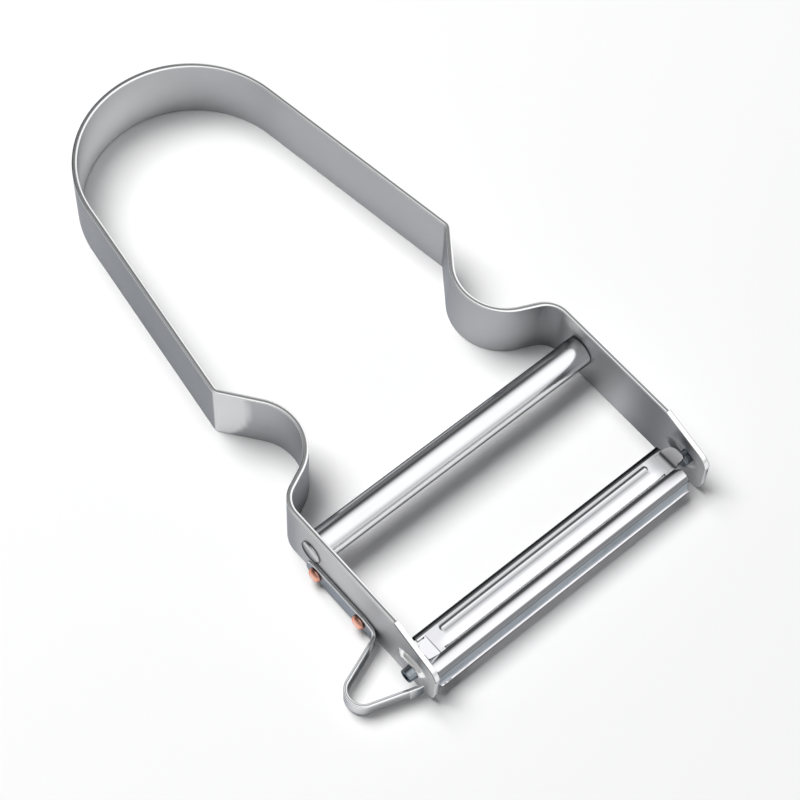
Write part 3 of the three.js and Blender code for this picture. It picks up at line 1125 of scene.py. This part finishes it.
@dataclass
class Blade:
    """The stamped blade: plate, slot, guard, front wall, ears and journals, about its pivot."""

    pivot: Point = (4.0, 5.5)
    sheet: float = 0.5
    half: float = 24.325
    left_end: float = 1.0
    plate_z: float = -0.25
    rear_y: float = 4.0
    rear_lip: float = 0.85
    rear_drop: float = 0.34
    rear_run: float = 0.64
    rear_radius: float = 0.08
    slot_half: float = 21.925
    slot: Point = (-0.45, 0.0)
    edge_bevel: float = 1.45
    edge_land: float = 0.1
    guard_front: float = -2.7
    guard_edge: Corner = (-0.914, -0.063, 1.6)
    guard_crown: Corner = (-1.488, 0.018, 2.4)
    guard_brow: Corner = (-2.187, -0.105, 1.0)
    crease_z: float = -0.64
    fold: float = 0.3
    slot_fold: float = 0.05
    foot: Point = (-3.1, -3.3)
    foot_lip: float = 0.55
    corner: float = 0.25
    bead_half: float = 20.625
    bead_y: float = 2.45
    bead_radius: float = 0.46
    bead_height: float = 0.2
    ear_start: float = 22.9
    ear_front: float = -0.6
    ear_rear: float = 3.02
    ear_tops: Point = (0.75, 1.5)
    ear_radii: Point = (0.6, 1.7)
    ear_bends: Point = (1.0, 1.9)
    ear_turns: Point = (23.0, 42.0)
    journal_start: float = 25.25
    journal_radius: float = 1.1
    journal_ends: Point = (29.275, 28.325)
    bore: float = 0.5
    bore_depth: float = 2.2
    seam: float = 0.16
    seam_depth: float = 2.2
    seam_start: float = 27.2
    seam_turn: float = -20.0
    past_journals: float = 1.0
    journal_chamfer: float = 0.15
    journal_rim: float = 0.3
    journal_sides: int = 48
    cap_inset: float = 0.35
    corner_run: float = 1.1
    ear_least: float = 0.1
    ear_lead: float = 0.08
    ear_stops: Point = (-0.02, 0.04)
    rear_stop: float = 0.04
    slot_stop: float = -0.1
    station_step: float = 2.0
    stretch_run: float = 0.3
    turn_step: float = 4.0
    line_step: float = 0.6
    bevel_steps: int = 8
    bead_steps: int = 6
    ear_steps: int = 14
    corner_steps: int = 8
    middle_rows: int = 9
    rounding: float = 0.06
    rounding_faces: int = 2
    rounding_angle: float = 50.0
    crease: float = 35.0
    wall_insets: Point = (0.3, 0.1)
    wall_lean: float = -0.8
    rear_margin: float = 0.03
    # Painted light on the blade: painted shade on the right plate end, the bead flanks, the brow, the
    # guard root and the front of the right end.
    end_shade: float = 0.5
    end_fades: tuple[Fade, Fade] = (Fade(20.7, 1.6), Fade(24.2, -0.8))
    crest_share: float = 0.4
    flank_shade: float = 0.45
    flank_reach: Point = (-0.1, 1.1)
    flank_end: float = 0.4
    brow_band: Point = (0.12, 0.35)
    brow_shade: float = 0.7
    root_shade: float = 0.3
    root_fade: Fade = Fade(0.95, -0.8)
    right_shade: float = 0.6
    right_fades: tuple[Fade, Fade] = (Fade(19.0, 5.0), Fade(-2.3, 0.8))

    def section(self) -> list[Point]:
        """Draws the middle line of the sheet.

        Returns:
            The points about the pivot, from the rear lip to the foot.
        """
        z = self.plate_z
        line = bent_line(
            [
                (self.rear_y, z - self.rear_lip, 0), (self.rear_y, z - self.rear_drop, self.rear_radius),
                (self.rear_y - self.rear_run, z, self.rear_radius), (self.slot[0], z, self.slot_fold),
                self.guard_edge, self.guard_crown, self.guard_brow,
                (self.guard_front, self.crease_z, self.fold), (*self.foot, self.fold),
                (self.foot[0] - self.foot_lip, self.foot[1], 0),
            ],
            self.turn_step, self.line_step,
        )
        flat = [p for p in line if self.slot[0] < p[0] and abs(p[1] - z) < CLOSE]
        first, last = line.index(flat[0]), line.index(flat[-1])
        stops = {self.slot[0] + self.slot_fold, self.slot_stop, flat[0][0], flat[-1][0]}
        stops |= {flat[0][0] - self.rear_stop, (flat[0][0] + self.bead_y) / 2}
        stops |= {self.ear_rear + past for past in self.ear_stops}
        bevel, bead = self.bevel_steps, self.bead_steps
        stops |= {self.slot[1] + self.edge_bevel * k / bevel for k in range(bevel + 1)}
        stops |= {self.bead_y + self.bead_radius * k / bead for k in range(-bead - 1, bead + 2)}
        plate = [(y, z) for y in sorted(stops, reverse=True) if flat[-1][0] <= y <= flat[0][0]]
        return [*line[:first], *plate, *line[last + 1:]]

    def stations(self) -> list[float]:
        """Chooses where along the blade the sheet gets a row of points.

        Returns:
            The places, from the left end to the right one.
        """
        fine = {self.slot_half, self.ear_start - self.ear_lead, 0.0}
        ear, bead, corner = self.ear_steps, self.bead_steps, self.corner_steps
        turns = [math.pi / 2 / corner * k for k in range(corner + 1)]
        fine |= {self.ear_start + (self.half - self.ear_start) * k / ear for k in range(ear + 1)}
        fine |= {self.half - self.corner * (1 - math.cos(turn)) for turn in turns}
        fine |= {self.bead_half - self.bead_radius * k / bead for k in range(bead + 1)}
        fine |= {self.station_step * k for k in range(1, self.middle_rows + 1)}
        return sorted({round(s * x, 5) for x in fine for s in (-1, 1)})

    def bead(self, x: float, y: float) -> float:
        """Gives the height of the pressed bead.

        Args:
            x: place along the blade.
            y: place from the pivot.

        Returns:
            The height in millimetres.
        """
        past = max(0.0, abs(x) - (self.bead_half - self.bead_radius))
        away = math.hypot(past, y - self.bead_y) / self.bead_radius
        return self.bead_height * max(0.0, 1 - away**2) ** 1.5

    def stretched(self, x: float, y: float) -> float:
        """Gives the place along the blade with the guard drawn out at its left end.

        Args:
            x: place along the plate.
            y: place from the pivot.

        Returns:
            The place in millimetres.
        """
        ahead = share((self.slot[0] - y) / self.stretch_run)
        near = share((-x - self.slot_half) / (self.half - self.slot_half))
        return x - self.left_end * ahead * near

    def guard_point(self, x: float, y: float, z: float) -> Vector:
        """Gives a point of the sheet with the guard drawn out and its front corners rounded off.

        Args:
            x: place along the plate.
            y: place from the pivot.
            z: height from the pivot.

        Returns:
            The point.
        """
        past = max(0.0, abs(x) - (self.half - self.corner))
        turn = self.corner - math.sqrt(max(0.0, self.corner**2 - past**2))
        front = share((self.guard_crown[0] - y) / self.corner_run)
        return Vector((self.stretched(x, y), y + turn * front, z))

    def in_ear(self, y: float, z: float) -> bool:
        """Tells whether a point of the section is folded up at the plate's ends."""
        in_plate = abs(z - self.plate_z) < CLOSE
        return in_plate and self.slot[0] + self.slot_fold - CLOSE < y < self.ear_rear

    def ear(self, x: float, y: float) -> Vector:
        """Gives a point of an ear that is folded up at an end of the plate.

        Args:
            x: place along the blade before folding.
            y: place from the pivot.

        Returns:
            The point.
        """
        front_r, rear_r = self.ear_radii
        middle = min(max(y, self.ear_front + front_r), self.ear_rear - rear_r)
        round_r = front_r if y < middle else rear_r
        side = 0 if x < 0 else 1
        fall = round_r - math.sqrt(round_r**2 - (y - middle) ** 2)
        r, turn = self.ear_bends[side], math.radians(self.ear_turns[side])
        top = max(self.plate_z + self.ear_least, self.ear_tops[side] - fall)
        knee = self.plate_z + r * (1 - math.cos(turn))
        length = r * turn + (top - knee) / math.sin(turn)
        if top < knee:
            length = r * math.acos(1 - (top - self.plate_z) / r)
        run = length * (abs(x) - self.ear_start) / (self.half - self.ear_start)
        past, angle = max(0.0, run - r * turn), min(turn, run / r)
        out = self.ear_start + r * math.sin(angle) + past * math.cos(turn)
        up = self.plate_z + r * (1 - math.cos(angle)) + past * math.sin(turn)
        return Vector((math.copysign(out, x), y, up))

    def shade(self, x: float, y: float, z: float) -> float:
        """Gives the painted highlight on the right ear rim and the painted shade on the rear facet, the
        line where the left ear starts, the bead flanks, the brow, the guard root and the right end.

        Args:
            x: place along the blade.
            y: place from the pivot.
            z: height from the pivot.

        Returns:
            The painted light, from -1 to 1.
        """
        if y > self.rear_y - self.rear_run + self.rear_margin:
            return -1.0
        if y > self.slot[0] + self.slot_fold - CLOSE:
            if abs(x + self.ear_start) < NEAR and self.in_ear(y, z):
                return -1.0
            if x > self.half - CLOSE and self.in_ear(y, z):
                return 1.0
            end = self.end_shade * math.prod(fade.at(x) for fade in self.end_fades)
            from_bead, (shift, run) = y - self.bead_y, self.flank_reach
            crest = max(0.0, 1 - (from_bead / self.bead_radius / self.crest_share) ** 2)
            flank = self.flank_shade * max(0.0, 1 - ((from_bead - shift) / run) ** 2) * (1 - crest)
            return -max(end, flank * share((self.bead_half - abs(x)) / self.flank_end))
        ahead, below = self.brow_band
        if y < self.guard_brow[0] - ahead and z > self.crease_z - below:
            return -self.brow_shade
        root = self.root_shade * self.root_fade.at(self.slot[0] - y)
        right = self.right_shade * math.prod(fade.at(v) for fade, v in zip(self.right_fades, (x, y)))
        return -max(root, right)

    def shell(self) -> Draft:
        """Draws the plate with bead, slot, ground edge and ears, the guard and the front wall.

        Returns:
            The closed draft.
        """
        section, stations = self.section(), self.stations()
        rows: Rows = []
        for x in stations:
            row = []
            for y, z in section:
                if abs(x) > self.ear_start and self.in_ear(y, z):
                    row.append(self.ear(x, y))
                    continue
                lift = self.bead(x, y) if abs(z - self.plate_z) < CLOSE else 0.0
                row.append(self.guard_point(x, y, z + lift))
            rows.append(row)
        edge, front = [
            min(range(len(section)), key=lambda j: math.dist(section[j], (y, self.plate_z)))
            for y in (self.slot[1], self.slot[0] + self.slot_fold)
        ]

        def in_slot(i: int, j: int) -> bool:
            """Tells whether a cell lies in the slot or in the cuts beside an ear.

            Args:
                i: the cell's number along the blade.
                j: the cell's number along the section.

            Returns:
                Whether the cell is open.
            """
            middle = abs(stations[i] + stations[i + 1]) / 2
            if middle > self.ear_start:
                return self.in_ear(*section[j]) is not self.in_ear(*section[j + 1])
            return middle < self.slot_half and edge <= j < front

        def lift(i: int, j: int) -> float:
            """Gives the height of the upper face, low at the ground edge.

            Args:
                i: the point's number along the blade.
                j: the point's number along the section.

            Returns:
                The height as a share of the sheet.
            """
            if abs(stations[i]) > self.slot_half - NEAR or abs(section[j][1] - self.plate_z) > CLOSE:
                return 1.0
            past = share(1 - (section[j][0] - self.slot[1]) / self.edge_bevel)
            return 1.0 if j > edge else 1 - (1 - self.edge_land / self.sheet) * past**2

        draft = sheet(rows, self.sheet, lift, lambda i, j: not in_slot(i, j))
        # Painted light from shade(), on both faces of each point.
        draft.wear = [self.shade(x, y, z) for x in stations for y, z in section for _ in range(2)]
        return draft

    def cap(self, side: int) -> Draft:
        """Gives the wall that closes an end of the guard.

        Args:
            side: -1 for the left end, 1 for the right one.

        Returns:
            The closed draft.
        """
        ring = [p for p in self.section() if self.foot[0] < p[0] < self.slot[0] + self.slot_fold]
        draft, outer = Draft(), self.half - self.cap_inset
        draft.rings([
            [draft.add(self.guard_point(side * x, y, z), (x, y + z)) for y, z in ring]
            for x in (outer - self.sheet, outer)
        ])
        return draft

    def journal(self, side: int) -> Draft:
        """Gives a journal that is rolled to a tube.

        Args:
            side: -1 for the left end, 1 for the right one.

        Returns:
            The closed draft.
        """
        end = self.journal_ends[0 if side < 0 else 1]
        r, c = self.journal_radius, self.journal_chamfer
        profile = [
            (self.journal_start, 0.0), (self.journal_start, r), (end - c, r),
            (end - c * self.journal_rim, r - c * self.journal_rim), (end, r - c), (end, self.bore),
            (end - self.bore_depth, self.bore), (end - self.bore_depth, 0.0),
        ]
        return turned([(side * x, radius) for x, radius in profile], self.journal_sides)

    def slit(self) -> Draft:
        """Draws the tool that cuts the seams of both journals.

        Returns:
            The closed draft.
        """
        draft, wide = Draft(), self.seam / 2
        ring = [(-self.seam_depth, -wide), (-self.seam_depth, wide), (0.0, wide), (0.0, -wide)]
        tilt = Matrix.Rotation(math.radians(self.seam_turn), 4, "X")
        reach = self.journal_ends[0] + self.past_journals
        for ends in ((-reach, -self.seam_start), (self.seam_start, reach)):
            draft.rings([[draft.add(tilt @ Vector((x, y, z))) for y, z in ring] for x in ends])
        return draft

    def build(self, bench: Bench) -> bpy.types.Object:
        """Makes the blade.

        Args:
            bench: the bench to draw on.

        Returns:
            The finished object.
        """
        at_pivot = Matrix.Translation((0, *self.pivot))
        draft, pins = self.shell(), Draft()
        for side in (-1, 1):
            draft.join(self.cap(side))
            pins.join(self.journal(side))
        obj = draft.moved(at_pivot).to_object("blade_body")
        soften(obj, self.rounding, self.rounding_faces, self.rounding_angle)
        bake(obj)
        pin_obj = pins.moved(at_pivot).to_object("journals")
        cut(pin_obj, self.slit().moved(at_pivot))
        both = bmesh.new()
        both.from_mesh(obj.data)
        plain = len(both.faces)
        both.from_mesh(pin_obj.data)
        low = self.pivot[1] + self.foot[1] + self.wall_insets[0]
        high = self.pivot[1] + self.crease_z - self.wall_insets[1]
        front = self.pivot[0] + self.guard_front
        for i, face in enumerate(both.faces):
            middle = face.calc_center_median()
            # Painted shade: front wall faces that face forwards and down get the darker brushed copy of
            # the blade steel.
            shaded_wall = low < middle.z < high and middle.y < front and face.normal.y < self.wall_lean
            face.material_index = 1 if i >= plain else 2 if shaded_wall else 0
        both.to_mesh(obj.data)
        both.free()
        bpy.data.objects.remove(pin_obj)
        settle(obj, bench, self.crease)
        return obj

    def dress(self, obj: bpy.types.Object) -> None:
        """Gives the blade its metal."""
        # The third metal paints shade on the front wall.
        hand_over(obj, [BLADE_STEEL, OILED_STEEL, SHADED_BRUSHED_STEEL], Body.BLADE, "blade", "blade")


@dataclass
class EyeRemover:
    """The narrow strip that is riveted to the left arm and bent to a loop."""

    thickness: float = 0.6
    edge: float = 0.14
    low: float = 0.45
    base_height: float = 3.7
    loop_height: float = 2.9
    rear_y: float = 28.1
    rear_radius: float = 1.8
    step_rear_y: float = 15.2
    leave: Corner = (-27.575, 12.5, 1.6)
    tip: tuple[float, float, float, float] = (-37.075, 7.1, 3.7, 2.5)
    end: Point = (-27.475, 2.0)
    turn_step: float = 6.0
    line_step: float = 0.8
    rows: int = 6
    tail_steps: int = 10
    crease: float = 35.0
    # Painted shade along the middle of the edge faces, and a painted highlight on the loop where it
    # stands clear of the arm.
    edge_shade: float = -0.2
    loop_fade: Fade = Fade(0.5, 1.5)

    def line(self) -> list[Point]:
        """Draws the middle line.

        Returns:
            The points, from the end at the arm to the rear end.
        """
        x, y, width, radius = self.tip
        line = bent_line(
            [
                (*self.end, 0), (x, y - width / 2, radius), (x, y + width / 2, radius),
                self.leave, (self.leave[0], self.rear_y - self.rear_radius, 0),
            ],
            self.turn_step, self.line_step,
        )
        turns = [math.pi / 2 / self.tail_steps * k for k in range(1, self.tail_steps + 1)]
        tail = [self.rear_y - self.rear_radius * (1 - math.sin(turn)) for turn in turns]
        return [*line, *[(self.leave[0], y) for y in tail]]

    def reach(self, x: float, y: float) -> Point:
        """Gives the lower and upper edge at a point of the line.

        Args:
            x: place across the fork; not used.
            y: place from the arm ends.

        Returns:
            Lowest and highest z.
        """
        step = share((y - self.leave[1]) / (self.step_rear_y - self.leave[1]))
        height = self.loop_height + (self.base_height - self.loop_height) * step
        past = max(0.0, y - (self.rear_y - self.rear_radius))
        cut_back = self.rear_radius - math.sqrt(max(0.0, self.rear_radius**2 - past**2))
        return self.low + cut_back, self.low + height - cut_back

    def painted_light_at(self, x: float, y: float, z: float, outside: bool) -> float:
        """Returns the painted highlight of the loop, where it stands clear of the arm."""
        return self.loop_fade.at(self.leave[0] - x)

    def build(self, bench: Bench) -> bpy.types.Object:
        """Makes the eye remover.

        Args:
            bench: the bench to draw on.

        Returns:
            The finished object.
        """
        strip = Strip(
            self.thickness, lambda x, y: self.edge, self.edge, self.rows, self.reach,
            painted_light_at=self.painted_light_at, edge_light=lambda x, y: self.edge_shade,
        )
        obj = strip.along(self.line()).to_object("eye_remover_body")
        settle(obj, bench, self.crease)
        return obj

    def dress(self, obj: bpy.types.Object) -> None:
        """Gives the eye remover its metal."""
        hand_over(obj, [SPRING_STEEL], Body.FRAME, "loop", "eye_remover")


@dataclass
class Rivets:
    """The two copper rivets of the eye remover, repeated by a node tree."""

    rear: Corner = (-27.975, 25.8, 2.4)
    front: Corner = (-27.975, 15.9, 2.4)
    dome_radius: float = 1.2
    dome_rise: float = 0.85
    dome_steps: int = 24
    shank_radius: float = 0.8
    grip: float = 1.75
    tail_radius: float = 1.15
    tail_height: float = 0.35
    sides: int = 48
    crease: float = 40.0
    tip: float = 1.0004
    # Painted glint in the middle of each dome, fading to painted shade at its rim.
    glint_radius: float = 0.2
    dome_glint_and_rim_shade: Point = (0.75, -0.45)

    def values(self) -> dict[str, float | Corner]:
        """Returns the value of each input of the node tree."""
        return {
            "Rear place": self.rear, "Front place": self.front, "Dome radius": self.dome_radius,
            "Dome rise": self.dome_rise, "Shank radius": self.shank_radius, "Grip": self.grip,
            "Tail radius": self.tail_radius, "Tail height": self.tail_height,
        }

    def tree(self, material: bpy.types.Material) -> tuple[bpy.types.NodeTree, dict[str, str]]:
        """Builds the node tree that draws the rivets.

        Args:
            material: the rivets' metal.

        Returns:
            The tree, and the identifier of each named input.
        """
        tree = bpy.data.node_groups.new("rivet_row", "GeometryNodeTree")
        wires, keys = Wiring(tree), {}
        for name, value in self.values().items():
            kind = "NodeSocketVector" if isinstance(value, tuple) else "NodeSocketFloat"
            socket = tree.interface.new_socket(name=name, in_out="INPUT", socket_type=kind)
            keys[name] = socket.identifier
        tree.interface.new_socket(name="Rivets", in_out="OUTPUT", socket_type="NodeSocketGeometry")
        given = wires.node("NodeGroupInput").outputs

        def along_x(value: Socket, factor: float) -> Socket:
            """Returns a vector along X of the given length times a factor."""
            length = wires.math("MULTIPLY", value, factor)
            return wires.node("ShaderNodeCombineXYZ", {"X": length}).outputs["Vector"]

        def spun(start: Socket | Corner, end: Socket, radius: Socket, count: int) -> Socket:
            """Returns a closed body of revolution between two points of the X axis.

            Args:
                start: one end of the axis.
                end: the other end.
                radius: the radius at the start.
                count: number of points on the axis; with more than 2 the body is a dome.

            Returns:
                The mesh.
            """
            axis = wires.node("GeometryNodeCurvePrimitiveLine", {"Start": start, "End": end})
            along = {"Curve": axis.outputs["Curve"], "Count": count}
            even = wires.node("GeometryNodeResampleCurve", along)
            if count > 2:
                part = wires.node("GeometryNodeSplineParameter").outputs["Factor"]
                rest = wires.math("SUBTRACT", self.tip, wires.math("POWER", part, 2.0))
                radius = wires.math("MULTIPLY", wires.math("SQRT", rest), radius)
            round_one = {"Resolution": self.sides, "Radius": 1.0}
            circle = wires.node("GeometryNodeCurvePrimitiveCircle", round_one)
            return wires.node("GeometryNodeCurveToMesh", {
                "Curve": even.outputs["Curve"], "Profile Curve": circle.outputs["Curve"],
                "Scale": radius, "Fill Caps": True,
            }).outputs["Mesh"]

        base, grip = (0.0, 0.0, 0.0), along_x(given["Grip"], 1.0)
        tail = wires.vector("ADD", grip, along_x(given["Tail height"], 1.0)).outputs[0]
        whole = wires.node("GeometryNodeJoinGeometry")
        for mesh in (
            spun(base, along_x(given["Dome rise"], -1.0), given["Dome radius"], self.dome_steps),
            spun(base, grip, given["Shank radius"], 2),
            spun(grip, tail, given["Tail radius"], 2),
        ):
            wires.fill(whole, {"Geometry": mesh})
        # Stores the painted glint in the middle of each dome, fading to painted shade at the rim, as
        # painted light.
        spot = wires.node("GeometryNodeInputPosition").outputs["Position"]
        flat = wires.vector("MULTIPLY", spot, (0, 1, 1)).outputs[0]
        away = wires.vector("LENGTH", flat).outputs["Value"]
        painted_highlight = wires.node("GeometryNodeStoreNamedAttribute", {
            "Geometry": whole.outputs["Geometry"], "Name": PAINTED_LIGHT_MAP,
            "Value": wires.span(away, (self.glint_radius, given["Dome radius"]), self.dome_glint_and_rim_shade),
        })
        row = wires.node("GeometryNodeMeshLine", mode="END_POINTS")
        places = {"Start Location": given["Rear place"], "Offset": given["Front place"]}
        wires.fill(row, {"Count": 2, **places})
        copies = wires.node("GeometryNodeInstanceOnPoints", {
            "Points": row.outputs["Mesh"], "Instance": painted_highlight.outputs["Geometry"],
        })
        real = wires.node("GeometryNodeRealizeInstances", {"Geometry": copies.outputs["Instances"]})
        metal = wires.node("GeometryNodeSetMaterial", {
            "Geometry": real.outputs["Geometry"], "Material": material,
        })
        wires.node("NodeGroupOutput", {"Rivets": metal.outputs["Geometry"]})
        return tree, keys

    def build(self, bench: Bench) -> bpy.types.Object:
        """Makes both rivets.

        Args:
            bench: the bench to draw on.

        Returns:
            The finished object.
        """
        obj = Draft([Vector((0, 0, 0))], [], [(0.0, 0.0)], [0.0]).to_object("copper_rivets")
        tree, keys = self.tree(COPPER.material())
        modifier = obj.modifiers.new("rivet_row", "NODES")
        modifier.node_group = tree
        for name, value in self.values().items():
            modifier[keys[name]] = value
        settle(obj, bench, self.crease)
        return obj

    def dress(self, obj: bpy.types.Object) -> None:
        """Gives the rivets their metal."""
        hand_over(obj, [COPPER], Body.FRAME, "copper", "rivet_rear", "rivet_front")


@dataclass
class Studio:
    """Pale floor, soft lamp, studio dome and the camera."""

    floor_size: float = 6.0
    floor_colour: Colour = (0.95, 0.95, 0.95)
    floor_rough: float = 0.9
    far_colour: Colour = (0.97, 0.97, 0.97)
    fade: Point = (0.2, 0.5)
    target: Corner = (1.721, 41.189, 0.0)
    azimuth: float = -43.408
    elevation: float = 60.931
    roll: float = 3.238
    distance: float = 387.07
    lens: float = 112.68
    sensor: float = 36.0
    nearest: float = 0.01
    key_place: Corner = (-0.17, 0.61, 1.36)
    key_size: float = 0.90
    key_power: float = 26.2
    card: Corner = (0.33, -0.35, 0.877)
    card_tint: Colour = (1.0, 1.01, 1.03)
    card_levels: tuple[Point, ...] = (
        (0.0, 0.2), (0.22, 0.12), (0.36, 0.04), (0.48, 0.1), (0.58, 0.28), (0.66, 0.52), (0.75, 0.78),
        (0.85, 0.9), (0.92, 1.0), (1.0, 1.0),
    )
    card_strength: float = 1.2
    walls: tuple[tuple[str, Point, float], ...] = (
        ("Y", (-0.2, -0.95), 0.62), ("X", (0.44, 0.62), 0.95), ("X", (-0.66, -0.82), 0.4),
    )
    dim_colour: Colour = (0.96, 0.98, 1.0)
    dim_level: float = 0.08

    def floor(self) -> None:
        """Lays the pale floor under the strip's lower edge, with an even tone far away."""
        mesh = bpy.data.meshes.new("floor")
        s = self.floor_size
        mesh.from_pydata([(-s, -s, 0), (s, -s, 0), (s, s, 0), (-s, s, 0)], [], [(0, 1, 2, 3)])
        obj = added("floor", mesh)
        paper = bpy.data.materials.new("pale_paper")
        paper.use_nodes = True
        wires = Wiring(paper.node_tree)
        shader = wires.fill(paper.node_tree.nodes["Principled BSDF"], {
            "Base Color": (*self.floor_colour, 1), "Roughness": self.floor_rough,
            "Specular IOR Level": 0.0,
        })
        place = wires.node("ShaderNodeTexCoord").outputs["Object"]
        away = wires.vector("LENGTH", place).outputs["Value"]
        far = wires.math("MULTIPLY", wires.span(away, self.fade, (0.0, 1.0)), wires.seen())
        pale = wires.node("ShaderNodeEmission", {"Color": (*self.far_colour, 1)})
        wires.choose(far, shader.outputs[0], pale.outputs[0], "Material Output")
        paper.cycles.emission_sampling = "NONE"
        mesh.materials.append(paper)

    def lamp(self) -> None:
        """Hangs the square soft lamp that points at the peeler."""
        data = bpy.data.lights.new("key", "AREA")
        data.shape = "SQUARE"
        data.size = self.key_size
        data.energy = self.key_power
        obj = added("key", data)
        obj.location = self.key_place
        obj.rotation_mode = "QUATERNION"
        obj.rotation_quaternion = (-Vector(self.key_place)).to_track_quat("-Z", "Y")
        obj.visible_glossy = False

    def sky(self) -> None:
        """Sets the studio dome: a pale card overhead and paler walls round it, dim for the floor."""
        world = bpy.data.worlds.new("studio_dome")
        world.use_nodes = True
        wires = Wiring(world.node_tree)
        place = wires.node("ShaderNodeTexCoord").outputs["Generated"]
        over = wires.vector("DOT_PRODUCT", place, self.card).outputs["Value"]
        stops = [(at, tuple(level * tint for tint in self.card_tint)) for at, level in self.card_levels]
        level = wires.ramp(over, stops)
        split = wires.node("ShaderNodeSeparateXYZ", {"Vector": place}).outputs
        for axis, reach, most in self.walls:
            level = wires.math("MAXIMUM", level, wires.span(split[axis], reach, (0.0, most)))
        card = wires.node("ShaderNodeBackground", {"Color": level, "Strength": self.card_strength})
        dim = wires.fill(world.node_tree.nodes["Background"], {
            "Color": (*self.dim_colour, 1), "Strength": self.dim_level,
        })
        wires.choose(wires.seen(), dim.outputs[0], card.outputs[0], "World Output")
        bpy.context.scene.world = world

    def camera(self, bench: Bench) -> None:
        """Sets the camera at the photograph's angle.

        Args:
            bench: the bench whose millimetres place the camera.
        """
        az, el, roll = (math.radians(v) for v in (self.azimuth, self.elevation, self.roll))
        back = Vector((math.sin(az) * math.cos(el), -math.cos(az) * math.cos(el), math.sin(el)))
        right = (-back).cross(Vector((0, 0, 1))).normalized()
        down = (-back).cross(right)
        across = right * math.cos(roll) - down * math.sin(roll)
        up = -(right * math.sin(roll) + down * math.cos(roll))
        data = bpy.data.cameras.new("camera")
        data.lens = self.lens
        data.sensor_width = self.sensor
        data.clip_start = self.nearest
        obj = added("camera", data)
        place = bench.place(*self.target) + back * self.distance * MM
        turn = Matrix((across, up, back)).transposed()
        obj.matrix_world = Matrix.Translation(place) @ turn.to_4x4()
        bpy.context.scene.camera = obj

    def build(self, bench: Bench) -> None:
        """Sets up floor, light and camera.

        Args:
            bench: the bench whose millimetres place the camera.
        """
        bpy.context.scene.view_settings.view_transform = "Standard"
        self.floor()
        self.sky()
        self.lamp()
        self.camera(bench)


def main() -> None:
    logging.basicConfig(level=logging.INFO, format="%(name)s: %(message)s")
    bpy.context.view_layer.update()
    bench = Bench.on_strip()
    Studio().build(bench)
    for maker in (FrameStrip(), Crossbar(), Blade(), EyeRemover(), Rivets()):
        maker.dress(maker.build(bench))


if __name__ == "__main__":
    main()
